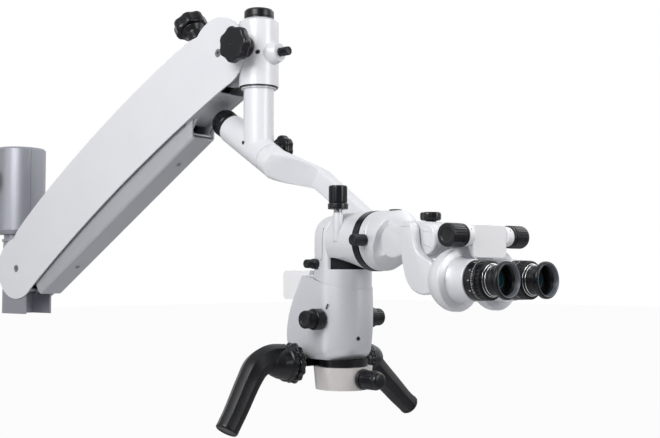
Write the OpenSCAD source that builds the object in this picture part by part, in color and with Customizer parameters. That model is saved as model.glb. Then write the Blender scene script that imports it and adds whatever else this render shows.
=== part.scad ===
/* [Column] */
// Radius of the round swivel column over its covers
column_r = 41.5; // [36:0.5:50]
// Height of the column from its base ring to the flat top face
column_h = 146; // [130:1:180]
// Radius of the bore that takes the pin of the ceiling, wall or floor stand
mount_bore_r = 20; // [14:0.5:24]
// Depth of that bore
mount_bore_depth = 88; // [60:1:90]
// Pitch circle radius of the four threaded holes in the top face
mount_bolt_circle_r = 29; // [27.5:0.5:30]
// Radius of each threaded hole
mount_bolt_r = 2.5; // [1.5:0.1:3]

/* [Spring arm] */
// Distance between the lower and the upper arm pivot
arm_length = 548; // [460:1:640]
// Slope of the arm at rest, in degrees above level
arm_rise = 32.7; // [28:0.1:34]
// Turn of the arm about the column at rest, in degrees
arm_yaw = 11; // [0:1:30]
// Distance of the lower pivot in front of the column axis
lower_pivot_x = 33.6; // [32:0.1:36]
// Depth of the lower pivot below the foot of the column
lower_pivot_below = 57.4; // [54:0.1:60]
// Radius of the round ends of the side plates
plate_end_r = 50; // [46:0.5:50]
// Height of the upper plate edge above the pivot line at mid length
plate_top = 66; // [62:0.5:72]
// Depth of the lower plate edge below the pivot line at mid length
plate_bottom = 36; // [32:0.5:40]
// Half of the arm width over the side plates
arm_half_w = 28.4; // [28:0.1:30]
// Thickness of each side plate
plate_t = 2.2; // [1.6:0.1:2.4]
// Depth of the under cover below the pivot line
tray_depth = 65; // [62:0.5:70]

/* [Head and hanger] */
// Distance of the head axis in front of the upper pivot
head_reach = 50.7; // [50:0.1:56]
// Radius of the head tube
head_r = 27.25; // [26.8:0.05:29]
// Height of the head tube
head_h = 93; // [88:1:110]
// Radius of the vertical hanger tube
hanger_r = 20.75; // [19:0.25:23]
// Slope of the swing axis below level, in degrees
swing_slope = 30; // [26:0.5:34]
// Radius of the inclined tube on that axis
incline_r = 21; // [20:0.25:22]

/* [Microscope] */
// Distance of the viewing axis in front of the head axis
scope_reach = 173.2; // [165:0.5:190]
// Radius of the round front of the microscope body
nose_r = 37; // [35:0.5:40]
// Reach of the body behind the viewing axis
body_back = 71; // [66:0.5:78]
// Depth of the body below the level line through its top edge
body_drop = 102; // [96:1:110]
// Radius of the horizontal drum
drum_r = 35.3; // [33:0.1:36]
// Height of the drum axis above the level line
drum_z = 40; // [39:0.5:44]
// Radius of the objective housing
objective_r = 36; // [33:0.5:38]
// Spread of each handle end from the viewing axis
handle_spread = 150; // [135:1:165]
// Radius of the handle grips
grip_r = 13.5; // [12:0.25:15]

/* [Binocular tube] */
// Half of the distance between the eyepiece axes
half_ipd = 32; // [31:0.5:33]
// Distance of the eyecup rims in front of the viewing axis
eye_reach = 284; // [280:1:300]
// Radius of the eyecups
eyecup_r = 19.6; // [18:0.2:21]
// Radius of the interpupillary knobs
ipd_knob_r = 12.5; // [11:0.25:13]

/* [Hidden] */
$fn = 64;

// One overrun for every cut
cut = 1;
// Running clearance of shafts in their bores
run = 0.05;
// Gap between parts that move past each other
gap = 0.3;
// Gap between parts of two bodies whose faces pass each other
pass = 0.6;

// Paint and metal as the eye sees them
white = "#E9EAEE";
silver = "#B4B6BE";
steel = "#8C9096";
black = "#222328";
brass = "#B39A5A";
glassy = "#6FA8A8";

lower_pivot_drop = column_h + lower_pivot_below;

// Bars and discs along the three axes
module bar_x(r, from, to) {
    translate([from, 0, 0]) rotate([0, 90, 0]) cylinder(r = r, h = to - from);
}
module bar_y(r, from, to) {
    translate([0, from, 0]) rotate([-90, 0, 0]) cylinder(r = r, h = to - from);
}
module bar_z(r, from, to) {
    translate([0, 0, from]) cylinder(r = r, h = to - from);
}
// A block given by its two corners
module block(low, high) {
    translate(low) cube(high - low);
}
// A plate drawn in X and Z and given its two faces in Y
module plate_xz(from, to) {
    translate([0, to, 0]) rotate([90, 0, 0]) linear_extrude(to - from) children();
}
// A round bar from one point to another
module rod(a, b, r) {
    d = b - a;
    flat = norm([d[0], d[1]]);
    translate(a) rotate([0, atan2(flat, d[2]), atan2(d[1], d[0])]) cylinder(r = r, h = norm(d));
}
// A lobed hand knob standing on z = 0, with its shaft below
module star_knob(r, h, lobes, neck_r, neck_h) {
    scallop = r * star_scallop_share;
    cylinder(r = neck_r, h = neck_h + cut);
    translate([0, 0, neck_h]) difference() {
        union() {
            cylinder(r1 = r - star_edge, r2 = r, h = star_edge);
            translate([0, 0, star_edge]) cylinder(r = r, h = h - star_edge * 2);
            translate([0, 0, h - star_edge]) cylinder(r1 = r, r2 = r - star_edge, h = star_edge);
        }
        for (i = [0:lobes - 1])
            rotate(i * 360 / lobes) translate([r + scallop * star_sink_share, 0, -cut])
                cylinder(r = scallop, h = h + cut * 2);
    }
}
star_scallop_share = 0.34;
star_sink_share = 0.55;
star_edge = 2;
// A fluted hand knob standing on z = 0
module fluted_knob(r, h, flutes) {
    difference() {
        cylinder(r = r, h = h);
        for (i = [0:flutes - 1])
            rotate(i * 360 / flutes) translate([r + flute_r * flute_share, 0, flute_start])
                cylinder(r = flute_r, h = h);
    }
}
flute_r = 1.5;
flutes_few = 12;
flutes_some = 14;
flutes_many = 18;
flute_share = 0.35;
flute_start = 4;

// Places of the arm side: the plane of the arm stands on the column axis
module arm_side() {
    rotate([0, 0, arm_yaw]) children();
}
// The arm at rest: origin at the lower pivot, X along the pivot line
module link() {
    arm_side() translate([lower_pivot_x, 0, -lower_pivot_drop]) rotate([0, -arm_rise, 0]) children();
}
upper_pivot_x = lower_pivot_x + arm_length * cos(arm_rise);
upper_pivot_z = arm_length * sin(arm_rise) - lower_pivot_drop;
head_x = upper_pivot_x + head_reach;
// Depth of the level line of the microscope below the upper pivot
scope_drop = 306.65;
level_drop = scope_drop - upper_pivot_z;
// The head: origin on the head axis at the height of the upper pivot
module at_head() {
    arm_side() translate([head_x, 0, upper_pivot_z]) children();
}
// The hanger and the microscope stand square to the part
module at_hanger() {
    translate([head_x * cos(arm_yaw), head_x * sin(arm_yaw), upper_pivot_z]) children();
}
module at_scope() {
    translate([head_x * cos(arm_yaw) + scope_reach, head_x * sin(arm_yaw), -level_drop]) children();
}

// Column
column_neck_r = 35;
column_chamfer = 7;
column_edge = 3;
column_cover_t = 3.6;
cover_seam = 0.4;
core_r = column_r - column_cover_t;
spindle_r = 15;
spindle_bush_r = 24;
spindle_room = 46;
spindle_bush_h = 14;
clamp_knob_z = -58;
clamp_knob_r = 18;
clamp_knob_h = 14;
clamp_stand_off = 6;
clamp_screw_r = 4;
cover_screw_r = 2;
cover_screw_head_r = 3.4;
cover_screw_head_h = 2;
cover_screw_zs = [-20, -120];

module column_profile(inset) {
    top = column_r - inset;
    polygon([[0, -column_h + inset], [column_neck_r - inset, -column_h + inset],
        [top, -column_h + column_chamfer + inset], [top, -column_edge], [top - column_edge, 0], [0, 0]]);
}
module column_core() {
    color(silver) difference() {
        union() {
            bar_z(core_r, -column_h + column_chamfer, 0);
            translate([0, 0, -column_h]) cylinder(r1 = column_neck_r, r2 = core_r, h = column_chamfer);
        }
        bar_z(mount_bore_r, -mount_bore_depth, cut);
        bar_z(spindle_bush_r, -column_h - cut, -column_h + spindle_room);
        for (i = [0:3])
            rotate(45 + i * 90) translate([mount_bolt_circle_r, 0, 0]) bar_z(mount_bolt_r, -mount_bolt_depth, cut);
        translate([0, 0, clamp_knob_z]) bar_y(clamp_screw_r + run, -column_r - cut, 0);
        cover_screw_places() bar_x(cover_screw_r, core_r - cover_screw_l, column_r + cut);
    }
}
mount_bolt_depth = 18;
// The screws of the two half covers stand at the back
cover_screw_turn = 30;
cover_screw_l = 8;
module cover_screw_places() {
    for (z = cover_screw_zs)
        for (side = [-1, 1])
            translate([0, 0, z]) rotate(180 + side * cover_screw_turn) children();
}
module column_cover(side) {
    color(silver) difference() {
        rotate_extrude() column_profile(0);
        bar_z(core_r, -column_h + column_chamfer, cut);
        translate([0, 0, -column_h]) cylinder(r1 = column_neck_r, r2 = core_r, h = column_chamfer);
        mirror([0, side > 0 ? 0 : 1, 0])
            block([-column_r - cut, -column_r - cut, -column_h - cut], [column_r + cut, cover_seam / 2, cut]);
        translate([0, 0, clamp_knob_z]) bar_y(clamp_screw_r + gap, -column_r - cut, 0);
        cover_screw_places() bar_x(cover_screw_r, 0, column_r + cut);
        cover_screw_places() bar_x(cover_screw_head_r, column_r - cover_screw_head_h, column_r + cut);
    }
}
module column_cover_near() {
    column_cover(-1);
}
module column_cover_far() {
    column_cover(1);
}
module column_cover_screws() {
    color(steel) cover_screw_places() {
        bar_x(cover_screw_r, core_r - cover_screw_l + cut, column_r - cover_screw_head_h);
        bar_x(cover_screw_head_r, column_r - cover_screw_head_h, column_r - cover_seam);
    }
}
module column_bushes() {
    color(brass) for (z = [-column_h, -column_h + spindle_room - spindle_bush_h])
        difference() {
            bar_z(spindle_bush_r, z, z + spindle_bush_h);
            bar_z(spindle_r + run, z - cut, z + spindle_bush_h + cut);
        }
}
module column_clamp_knob() {
    color(black) translate([0, 0, clamp_knob_z]) {
        bar_y(clamp_screw_r, -column_r - clamp_stand_off, -mount_bore_r - cut);
        translate([0, -column_r - gap, 0]) rotate([90, 0, 0])
            star_knob(clamp_knob_r, clamp_knob_h, star_lobes, clamp_knob_r / 2, clamp_stand_off);
    }
}
star_lobes = 7;

// Bracket under the column
fork_out = arm_half_w - plate_t - gap;
fork_wall = 3.2;
fork_in = fork_out - fork_wall;
bracket_neck = 12;
bracket_top = -column_h - bracket_neck;
bracket_h = 120;
bracket_front = 55.6;
bracket_back_x = 8;
roof_t = 15;
roof_front = 26;
bracket_neck_r = 25;
neck_shoulder = 4;
main_pin_r = 8;
rod_pin_r = 5;
rod_drop = 34;
spindle_collar_r = 20;
spindle_collar_h = 8;

module at_lower_pivot() {
    arm_side() translate([lower_pivot_x, 0, -lower_pivot_drop]) children();
}
module bracket() {
    base = bracket_top - bracket_h;
    color(silver) arm_side() difference() {
        union() {
            bar_z(fork_out, base, bracket_top);
            block([0, -fork_out, base], [bracket_front, fork_out, bracket_top]);
            bar_z(bracket_neck_r, bracket_top, -column_h - pass);
            bar_z(spindle_bush_r + neck_shoulder, bracket_top, bracket_top + neck_shoulder);
        }
        block([bracket_back_x, -fork_in, base - cut], [bracket_front + cut, fork_in, bracket_top - roof_t]);
        block([roof_front, -fork_in, base], [bracket_front + cut, fork_in, bracket_top + cut]);
        translate([lower_pivot_x, 0, -lower_pivot_drop]) {
            bar_y(main_pin_r, -arm_half_w - cut, arm_half_w + cut);
            translate([0, 0, -rod_drop]) bar_y(rod_pin_r, -arm_half_w, arm_half_w);
        }
        bar_z(spindle_r, bracket_top - roof_t - cut, -column_h);
    }
}
module bracket_spindle() {
    color(steel) arm_side() {
        bar_z(spindle_r, bracket_top - roof_t, -column_h + spindle_room - spindle_end_gap);
        difference() {
            bar_z(spindle_collar_r, -column_h + spindle_bush_h + gap, -column_h + spindle_bush_h + spindle_collar_h);
            bar_z(spindle_r - cut, -column_h, 0);
        }
    }
}
spindle_end_gap = 1;
pivot_head_r = 5.6;
hex_r = 2.6;
hex_depth = 2;
// Pivot pin whose two ends show in the side plates, each with a hex socket
module main_pin() {
    difference() {
        union() {
            bar_y(main_pin_r, -fork_out, fork_out);
            bar_y(pivot_head_r, -arm_half_w, arm_half_w);
        }
        for (s = [0, 1])
            mirror([0, s, 0]) translate([0, arm_half_w - hex_depth, 0]) rotate([-90, 0, 0])
                cylinder(r = hex_r, h = hex_depth + cut, $fn = 6);
    }
}
module lower_pivot_pins() {
    color(steel) at_lower_pivot() {
        main_pin();
        translate([0, 0, -rod_drop]) bar_y(rod_pin_r, -fork_out, fork_out);
    }
}

// Spring arm
frame_out = 18.5;
frame_wall = 3;
frame_in = frame_out - frame_wall;
frame_top = 45;
frame_bottom = 60;
frame_web = 3;
eye_r = 22;
bush_r = 12;
tray_half_w = fork_in - pass;
tray_t = 2;
tray_start = 25;
tray_short = 108;
tray_end = arm_length - tray_short;
tray_side_h = 32;
tray_round = 5;
plate_end_top = 40;
plate_steps = 16;
boss_r = 5;
boss_first = 120;
boss_last = 118;
boss_mid = 268;
boss_places = [[boss_first, 18], [arm_length - boss_mid, 22], [arm_length - boss_last, 20]];
top_cover_t = 2.4;
top_cover_start = 55;
top_cover_stop = 46;
balance_back = 40;
balance_x = arm_length - balance_back;
balance_stem_r = 9;
balance_sleeve_r = 14;
balance_star_r = 25;
balance_star_h = 19;
balance_neck_h = 20;
spring_r = 12.6;
spring_wire_r = 1.9;
spring_z = 14;
spring_from = 120;
spring_short = 148;
spring_to = arm_length - spring_short;
spring_turns = 30;
spring_plate_t = 5;
spring_rod_r = 5;
cover_screw_first = 105;
cover_screw_last = 168;
cover_screw_x = [cover_screw_first, arm_length - cover_screw_last];

function plate_upper(t) = plate_end_top + (plate_top - plate_end_top) * pow(sin(180 * t), 0.5);
function plate_lower(t) = -plate_end_r + (plate_end_r - plate_bottom) * pow(sin(180 * t), 0.8);
module plate_outline() {
    upper = [for (i = [0:plate_steps]) [arm_length * i / plate_steps, plate_upper(i / plate_steps)]];
    lower = [for (i = [plate_steps:-1:0]) [arm_length * i / plate_steps, plate_lower(i / plate_steps)]];
    circle(r = plate_end_r);
    translate([arm_length, 0]) circle(r = plate_end_r);
    polygon(concat(upper, lower));
}
module arm_side_plate(side) {
    color(white) link() mirror([0, side > 0 ? 0 : 1, 0]) difference() {
        union() {
            plate_xz(arm_half_w - plate_t, arm_half_w) plate_outline();
            for (p = boss_places)
                translate([p[0], 0, p[1]]) bar_y(boss_r, frame_out, arm_half_w - plate_t + cut);
        }
        for (x = [0, arm_length])
            translate([x, 0, 0]) bar_y(pivot_head_r + gap, frame_out, arm_half_w + cut);
    }
}
module arm_side_near() {
    arm_side_plate(-1);
}
module arm_side_far() {
    arm_side_plate(1);
}
module frame_outline() {
    circle(r = eye_r);
    translate([arm_length, 0]) circle(r = eye_r);
    polygon([[0, eye_r], [frame_rise_x, frame_top], [arm_length - frame_rise_x, frame_top],
        [arm_length, eye_r], [arm_length, -eye_r], [arm_length - frame_nose, -frame_nose_low],
        [arm_length - frame_stop, -frame_bottom + frame_chamfer], [arm_length - frame_stop, -frame_bottom],
        [frame_heel, -frame_bottom], [frame_throat, -frame_throat / 2]]);
}
frame_rise_x = 60;
// The lower edge of the frame rises to clear the hanger
frame_nose = 60;
frame_nose_low = 34;
frame_stop = 106;
frame_chamfer = 9;
frame_heel = 36;
frame_throat = 20;
module arm_frame() {
    color(silver) link() {
        difference() {
            union() {
                plate_xz(frame_in, frame_out) frame_outline();
                plate_xz(-frame_out, -frame_in) frame_outline();
                block([frame_heel, -frame_in - cut, -frame_bottom], [arm_length - frame_stop, frame_in + cut, -frame_bottom + frame_web]);
                for (x = [spring_from - spring_plate_t, spring_to])
                    block([x, -frame_in - cut, spring_z - spring_r], [x + spring_plate_t, frame_in + cut, frame_top]);
                block([balance_x - balance_sleeve_r, -frame_in - cut, frame_top - balance_sleeve_r],
                    [balance_x + balance_sleeve_r, frame_in + cut, frame_top]);
            }
            for (x = [0, arm_length])
                translate([x, 0, 0]) bar_y(bush_r, -arm_half_w, arm_half_w);
            translate([balance_x, 0, 0]) bar_z(balance_stem_r + run, frame_top - balance_sleeve_r * 2, frame_top + cut);
            translate([0, 0, spring_z]) bar_x(spring_rod_r, spring_from - spring_plate_t - cut, spring_to + spring_plate_t + cut);
            for (x = cover_screw_x)
                translate([x, 0, 0]) bar_z(cover_screw_r, -frame_bottom - cut, -frame_bottom + frame_web + cut);
        }
    }
}
module tray_section(inset) {
    w = tray_half_w - inset;
    r = tray_round - inset;
    translate([-tray_depth + inset + r, w - r]) circle(r = r);
    translate([-tray_depth + inset + r, r - w]) circle(r = r);
    translate([-tray_depth + inset, r - w]) square([r, (w - r) * 2]);
    translate([-tray_depth + inset + r, -w]) square([tray_side_h + inset, w * 2]);
}
module arm_under_cover() {
    color(silver) link() difference() {
        translate([tray_start, 0, 0]) rotate([0, 90, 0]) mirror([1, 0, 0])
            linear_extrude(tray_end - tray_start + tray_side_h) difference() {
                tray_section(0);
                tray_section(tray_t);
            }
        translate([tray_end, 0, -tray_depth]) rotate([0, arm_rise, 0])
            block([0, -arm_half_w, -tray_depth], [tray_depth * 2, arm_half_w, tray_depth * 2]);
        for (x = cover_screw_x)
            translate([x, 0, 0]) bar_z(cover_screw_r, -tray_depth - cut, -frame_bottom);
        block([0, -tray_half_w - cut, -tray_depth + tray_side_h], [tray_end * 2, tray_half_w + cut, 0]);
    }
    color(silver) link() for (x = cover_screw_x)
        difference() {
            translate([x, 0, 0]) bar_z(boss_r, -tray_depth + tray_t / 2, -frame_bottom);
            translate([x, 0, 0]) bar_z(cover_screw_r, -tray_depth - cut, -frame_bottom + cut);
        }
}
module under_cover_screws() {
    color(steel) link() for (x = cover_screw_x)
        translate([x, 0, 0]) difference() {
            union() {
                bar_z(cover_screw_r, -tray_depth, -frame_bottom + frame_web);
                bar_z(cover_screw_head_r, -tray_depth - cover_screw_head_h / 2, -tray_depth);
            }
            translate([0, 0, -tray_depth - cut]) cylinder(r = cover_screw_r / 2, h = cut, $fn = 6);
        }
}
module arm_top_cover() {
    inner = arm_half_w - plate_t;
    n = plate_steps * 2;
    first = top_cover_start / arm_length;
    last = 1 - top_cover_stop / arm_length;
    outer_edge = [for (i = [0:n]) let (t = first + (last - first) * i / n) [arm_length * t, plate_upper(t) - gap]];
    inner_edge = [for (i = [n:-1:0]) let (t = first + (last - first) * i / n)
        [arm_length * t, plate_upper(t) - gap - top_cover_t]];
    color(white) link() difference() {
        plate_xz(-inner, inner) polygon(concat(outer_edge, inner_edge));
        translate([balance_x, 0, 0]) bar_z(balance_stem_r + gap, 0, plate_top * 2);
    }
}
module arm_bushes() {
    color(brass) link() for (x = [0, arm_length])
        for (s = [0, 1])
            mirror([0, s, 0]) translate([x, 0, 0]) difference() {
                union() {
                    bar_y(bush_r, frame_in, frame_out);
                    bar_y(bush_r + 2 * cut, frame_out, x > 0 ? frame_out + cut * 3 : fork_in - gap);
                }
                bar_y(main_pin_r + run, 0, arm_half_w);
            }
}
// A coil as one unbroken tube of six sides, with eight rings a turn
function coil_point(k, side) = let (turn = k * 360 / coil_rings, a = side * 360 / coil_sides,
    r = spring_r - spring_wire_r + spring_wire_r * cos(a))
    [spring_from + spring_wire_r + gap + (spring_to - spring_from - (spring_wire_r + gap) * 2) * k / (coil_rings * spring_turns)
        + spring_wire_r * sin(a), r * cos(turn), r * sin(turn)];
coil_rings = 8;
coil_sides = 6;
module balance_spring() {
    total = coil_rings * spring_turns;
    points = [for (k = [0:total]) for (s = [0:coil_sides - 1]) coil_point(k, s)];
    sides = [for (k = [0:total - 1]) for (s = [0:coil_sides - 1]) let (n = (s + 1) % coil_sides)
        each [[k * coil_sides + s, k * coil_sides + n, (k + 1) * coil_sides + s],
            [k * coil_sides + n, (k + 1) * coil_sides + n, (k + 1) * coil_sides + s]]];
    first = [for (s = [1:coil_sides - 2]) [0, s + 1, s]];
    last = [for (s = [1:coil_sides - 2]) [total * coil_sides, total * coil_sides + s, total * coil_sides + s + 1]];
    color(steel) link() translate([0, 0, spring_z]) polyhedron(points, concat(sides, first, last));
}
module spring_rod() {
    color(steel) link() translate([0, 0, spring_z]) {
        bar_x(spring_rod_r, spring_from - spring_plate_t * 2, spring_to + spring_plate_t * 2);
        bar_x(spring_rod_r * 2, spring_from - spring_plate_t * 3, spring_from - spring_plate_t);
        bar_x(spring_rod_r * 2, spring_to + spring_plate_t, spring_to + spring_plate_t * 3);
    }
}
rod_in = 7.5;
rod_out = 11.5;
rod_eye_r = 8;
rod_half_h = 5;
module parallel_rods() {
    color(steel) arm_side() translate([lower_pivot_x, 0, -lower_pivot_drop - rod_drop]) rotate([0, -arm_rise, 0])
        for (s = [0, 1])
            mirror([0, s, 0]) difference() {
                union() {
                    for (x = [0, arm_length])
                        translate([x, 0, 0]) bar_y(rod_eye_r, rod_in, rod_out);
                    block([0, rod_in, -rod_half_h], [arm_length, rod_out, rod_half_h]);
                }
                for (x = [0, arm_length])
                    translate([x, 0, 0]) bar_y(rod_pin_r + (x > 0 ? pass : run), 0, arm_half_w);
            }
}
module balance_knob() {
    base = plate_top - star_edge;
    color(black) link() translate([balance_x, 0, 0]) {
        bar_z(balance_stem_r, frame_top - balance_sleeve_r + gap, base + balance_neck_h);
        translate([0, 0, base]) star_knob(balance_star_r, balance_star_h, star_lobes, balance_sleeve_r, balance_neck_h);
        translate([0, 0, base + balance_neck_h - balance_neck_h / 3])
            cylinder(r1 = balance_sleeve_r, r2 = balance_star_r - star_edge * 2, h = balance_neck_h / 3);
    }
}

// Head at the upper end of the arm
head_top = 43.4;
head_shoulder = 4;
head_cap_r = 20.5;
head_cap_h = 14;
tongue_half = 6;
tongue_r = 14;
head_skin_r = 46;
head_skin_t = 3;
head_wedge_turn = 98;
hanger_spindle_r = 15;
head_bush_r = 20;
head_bush_h = 16;
brake_knob_r = 25;
brake_knob_h = 14;
brake_neck_h = 17;
brake_neck_r = 13;
stop_boss_r = 16;
stop_boss_l = 11;
stop_knob_r = 6;
stop_knob_l = 16;
stop_drop = 6;
plug_hole_r = 2.4;
head_plug_r = 3.3;
plug_turn = -52;
brake_screw_r = 3.5;
// The brake screw stands in front of the head axis, clear of the side plates
brake_x = 4.5;

module head_block() {
    low = head_top - head_h;
    wide = fork_out;
    color(white) at_head() difference() {
        union() {
            bar_z(head_r, low, head_top - head_shoulder);
            translate([0, 0, head_top - head_shoulder])
                cylinder(r1 = head_r, r2 = head_cap_r + cut, h = head_shoulder);
            // Boss that carries the stop knob
            translate([0, 0, -stop_drop]) {
                bar_x(stop_boss_r, 0, head_r);
                translate([head_r - cut, 0, 0]) rotate([0, 90, 0])
                    cylinder(r1 = stop_boss_r, r2 = stop_boss_r - head_shoulder, h = stop_boss_l + cut);
            }
            // Tongue between the frame walls
            translate([-head_reach, 0, 0]) bar_y(tongue_r, -tongue_half, tongue_half);
            translate([-head_reach, 0, -rod_drop]) bar_y(tongue_r * tongue_low_share, -tongue_half, tongue_half);
            block([-head_reach, -tongue_half, -tongue_r], [0, tongue_half, tongue_r]);
            block([-head_reach - tongue_r * tongue_low_share, -tongue_half, -rod_drop], [0, tongue_half, 0]);
            block([-head_reach, -tongue_half, -rod_drop - tongue_r * tongue_low_share], [0, tongue_half, 0]);
            // Curved skin that closes the end of the arm
            intersection() {
                translate([-head_reach, 0, 0]) difference() {
                    bar_y(head_skin_r, -wide, wide);
                    bar_y(head_skin_r - head_skin_t, -wide - cut, wide + cut);
                }
                block([-head_reach - head_skin_r * sin(head_wedge_turn - 90), -wide, head_reach / 4], [0, wide, head_skin_r + cut]);
            }
        }
        // Flats on the tube under the plate ends
        for (s = [0, 1])
            mirror([0, s, 0]) translate([-head_reach, 0, 0]) bar_y(plate_end_r + pass, fork_out, arm_half_w + cut);
        bar_z(head_bush_r, low - cut, head_top - head_shoulder);
        bar_z(hanger_spindle_r + pass, low, head_top + cut);
        translate([-head_reach, 0, 0]) bar_y(main_pin_r, -head_reach, head_reach);
        translate([-head_reach, 0, -rod_drop]) bar_y(rod_pin_r, -head_reach, head_reach);
        translate([brake_x, 0, 0]) bar_y(brake_screw_r + run, -head_r - cut, 0);
        rotate(plug_turn) translate([0, 0, -stop_drop]) bar_x(head_plug_r, head_bush_r - cut, head_r + cut);
        translate([0, 0, -stop_drop]) bar_x(stop_knob_r - star_edge + run, 0, head_r + stop_boss_l + cut);
    }
}
tongue_low_share = 0.7;
module head_bushes() {
    low = head_top - head_h;
    color(brass) at_head() for (z = [low, head_top - head_shoulder - head_bush_h])
        difference() {
            bar_z(head_bush_r, z, z + head_bush_h);
            bar_z(hanger_spindle_r + run, z - cut, z + head_bush_h + cut);
        }
}
module head_cap() {
    color(black) at_head() difference() {
        union() {
            bar_z(head_cap_r, head_top, head_top + head_cap_h - star_edge);
            translate([0, 0, head_top + head_cap_h - star_edge])
                cylinder(r1 = head_cap_r, r2 = head_cap_r - star_edge, h = star_edge);
        }
        bar_z(hanger_spindle_r + pass, head_top - cut, head_top + head_cap_h - star_edge * 2);
    }
}
module upper_pivot_pins() {
    color(steel) at_head() translate([-head_reach, 0, 0]) {
        main_pin();
        translate([0, 0, -rod_drop]) bar_y(rod_pin_r, -rod_out - cut, rod_out + cut);
    }
}
module head_brake_knob() {
    color(black) at_head() translate([brake_x, 0, 0]) {
        bar_y(brake_screw_r, -head_r - brake_neck_h, -hanger_spindle_r - pass);
        translate([0, -arm_half_w - pass, 0]) rotate([90, 0, 0])
            star_knob(brake_knob_r, brake_knob_h, star_lobes, brake_neck_r, brake_neck_h);
    }
}
module head_stop_knob() {
    tip = head_r + stop_boss_l;
    color(black) at_head() translate([0, 0, -stop_drop]) {
        bar_x(stop_knob_r - star_edge, hanger_spindle_r + pass, tip + stop_knob_l / 2);
        translate([tip + gap, 0, 0]) rotate([0, 90, 0]) fluted_knob(stop_knob_r, stop_knob_l, flutes_few);
    }
}

// Hanger: vertical tube and inclined tube
hanger_neck = 3;
hanger_wall = 3.5;
swing_axis_level = 170.7;
axis_drop = upper_pivot_z + level_drop - swing_axis_level;
incline_back = 70;
incline_front = 27;
swing_bush_l = 14;
swing_shaft_r = 12;
rear_cap_l = 28;
rear_cap_r = 20;
plug_back = 11;
plug_up = 4;
lock_t = 5;
lock_up = 8;
lock_neck_h = 8;
lock_knob_r = 18;
lock_knob_h = 13;
hanger_top = head_top - head_h - gap;

module at_swing() {
    at_hanger() translate([0, 0, -axis_drop]) rotate([0, swing_slope, 0]) children();
}
module hanger() {
    color(white) difference() {
        union() {
            at_hanger() bar_z(hanger_r, -axis_drop, hanger_top - cut);
            at_hanger() bar_z(head_r - hanger_neck, hanger_top - hanger_neck, hanger_top);
            at_swing() bar_x(incline_r, -incline_back, incline_front);
        }
        at_hanger() bar_z(hanger_r - hanger_wall, -axis_drop + incline_r * 2, hanger_top - hanger_neck - spindle_seat * 2);
        at_hanger() bar_z(hanger_spindle_r, hanger_top - hanger_neck - spindle_seat * 2, hanger_top + cut);
        at_swing() bar_x(swing_shaft_r + run, -incline_back - cut, incline_front + cut);
        at_swing() translate([lock_t, 0, lock_up]) bar_y(brake_screw_r + run, 0, incline_r + cut);
        at_swing() translate([-plug_back, 0, plug_up]) bar_y(plug_hole_r, -incline_r - cut, -incline_r + plug_hole_r * 2);
    }
}
spindle_seat = 12;
module hanger_spindle() {
    color(steel) at_hanger() {
        bar_z(hanger_spindle_r, hanger_top - hanger_neck - spindle_seat * 2, head_top);
        bar_z(hanger_spindle_r - cut, head_top, head_top + head_cap_h - star_edge * 2 - pass);
    }
}
module rear_clamp_cap() {
    color(black) at_swing() rotate([0, -90, 0]) translate([0, 0, incline_back + gap]) difference() {
        star_knob(rear_cap_r, rear_cap_l - star_edge, star_lobes + 1, rear_cap_r - star_edge * 2, star_edge);
        translate([0, 0, -cut]) cylinder(r = swing_shaft_r + gap, h = rear_cap_l / 2);
    }
}
module swing_lock_knob() {
    color(black) at_swing() translate([lock_t, 0, lock_up]) {
        bar_y(brake_screw_r, swing_shaft_r + pass, incline_r + lock_neck_h);
        translate([0, incline_r + gap, 0]) rotate([-90, 0, 0])
            star_knob(lock_knob_r, lock_knob_h, star_lobes - 1, brake_screw_r + star_edge, lock_neck_h);
    }
}

// Swing arm from the inclined axis to the tilt hub
arm_near_y = 39.5;
arm_far_y = 59;
bar_half_h = 13.5;
sleeve_end = 37;
bend_t = 80;
bend_slab = 3;
bend_half = 14.6;
bend_mid = 50;
bend_mid_share = 0.5;
hub_r = 21;
tilt_x = 33;
tilt_shaft_r = 9;
hub_x = scope_reach + tilt_x;
hub_z = drum_z - swing_axis_level;
// The bend on the swing axis, given in the upright frame of the hanger
bend = [bend_t * cos(swing_slope), -bend_t * sin(swing_slope)];
bar_turn = atan2(hub_z - bend[1], hub_x - bend[0]);
bar_l = norm([hub_x - bend[0], hub_z - bend[1]]);

module at_axis_level() {
    at_hanger() translate([0, 0, -axis_drop]) children();
}
// The bend that leads from the sleeve out to the bar, as seen from above and from the side
module bend_piece() {
    start = sleeve_end - bend_slab;
    stop = bend_t + bend_slab;
    intersection() {
        translate([0, 0, -incline_r]) linear_extrude(incline_r * 2) polygon([[start, -bend_half], [bend_mid, -bend_half * bend_mid_share],
            [stop - bend_slab, arm_near_y + gap], [stop, arm_near_y + gap], [stop, arm_far_y - gap],
            [stop - bend_slab * 3, arm_far_y - gap], [bend_mid - bend_slab, bend_half], [start, bend_half]]);
        plate_xz(-incline_r, arm_far_y) polygon([[start, -bend_half], [stop, gap - bar_half_h - bend_slab],
            [stop, bar_half_h - gap - bend_slab], [start, bend_half]]);
    }
}
module swing_arm() {
    color(white) difference() {
        union() {
            at_swing() bar_x(incline_r, incline_front + gap, sleeve_end);
            at_swing() bend_piece();
            at_axis_level() translate([bend[0], 0, bend[1]]) rotate([0, -bar_turn, 0])
                block([0, arm_near_y + gap, -bar_half_h], [bar_l, arm_far_y - gap, bar_half_h]);
            at_axis_level() translate([hub_x, 0, hub_z]) bar_y(hub_r, arm_near_y, arm_far_y);
        }
        at_swing() bar_x(swing_shaft_r, incline_front, sleeve_end + bend_slab * 4);
        at_axis_level() translate([hub_x, 0, hub_z]) bar_y(tilt_shaft_r + run, 0, arm_far_y + cut);
    }
}
module swing_shaft() {
    color(steel) at_swing() bar_x(swing_shaft_r, -incline_back - rear_cap_l / 4, sleeve_end + bend_slab * 4);
}
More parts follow.
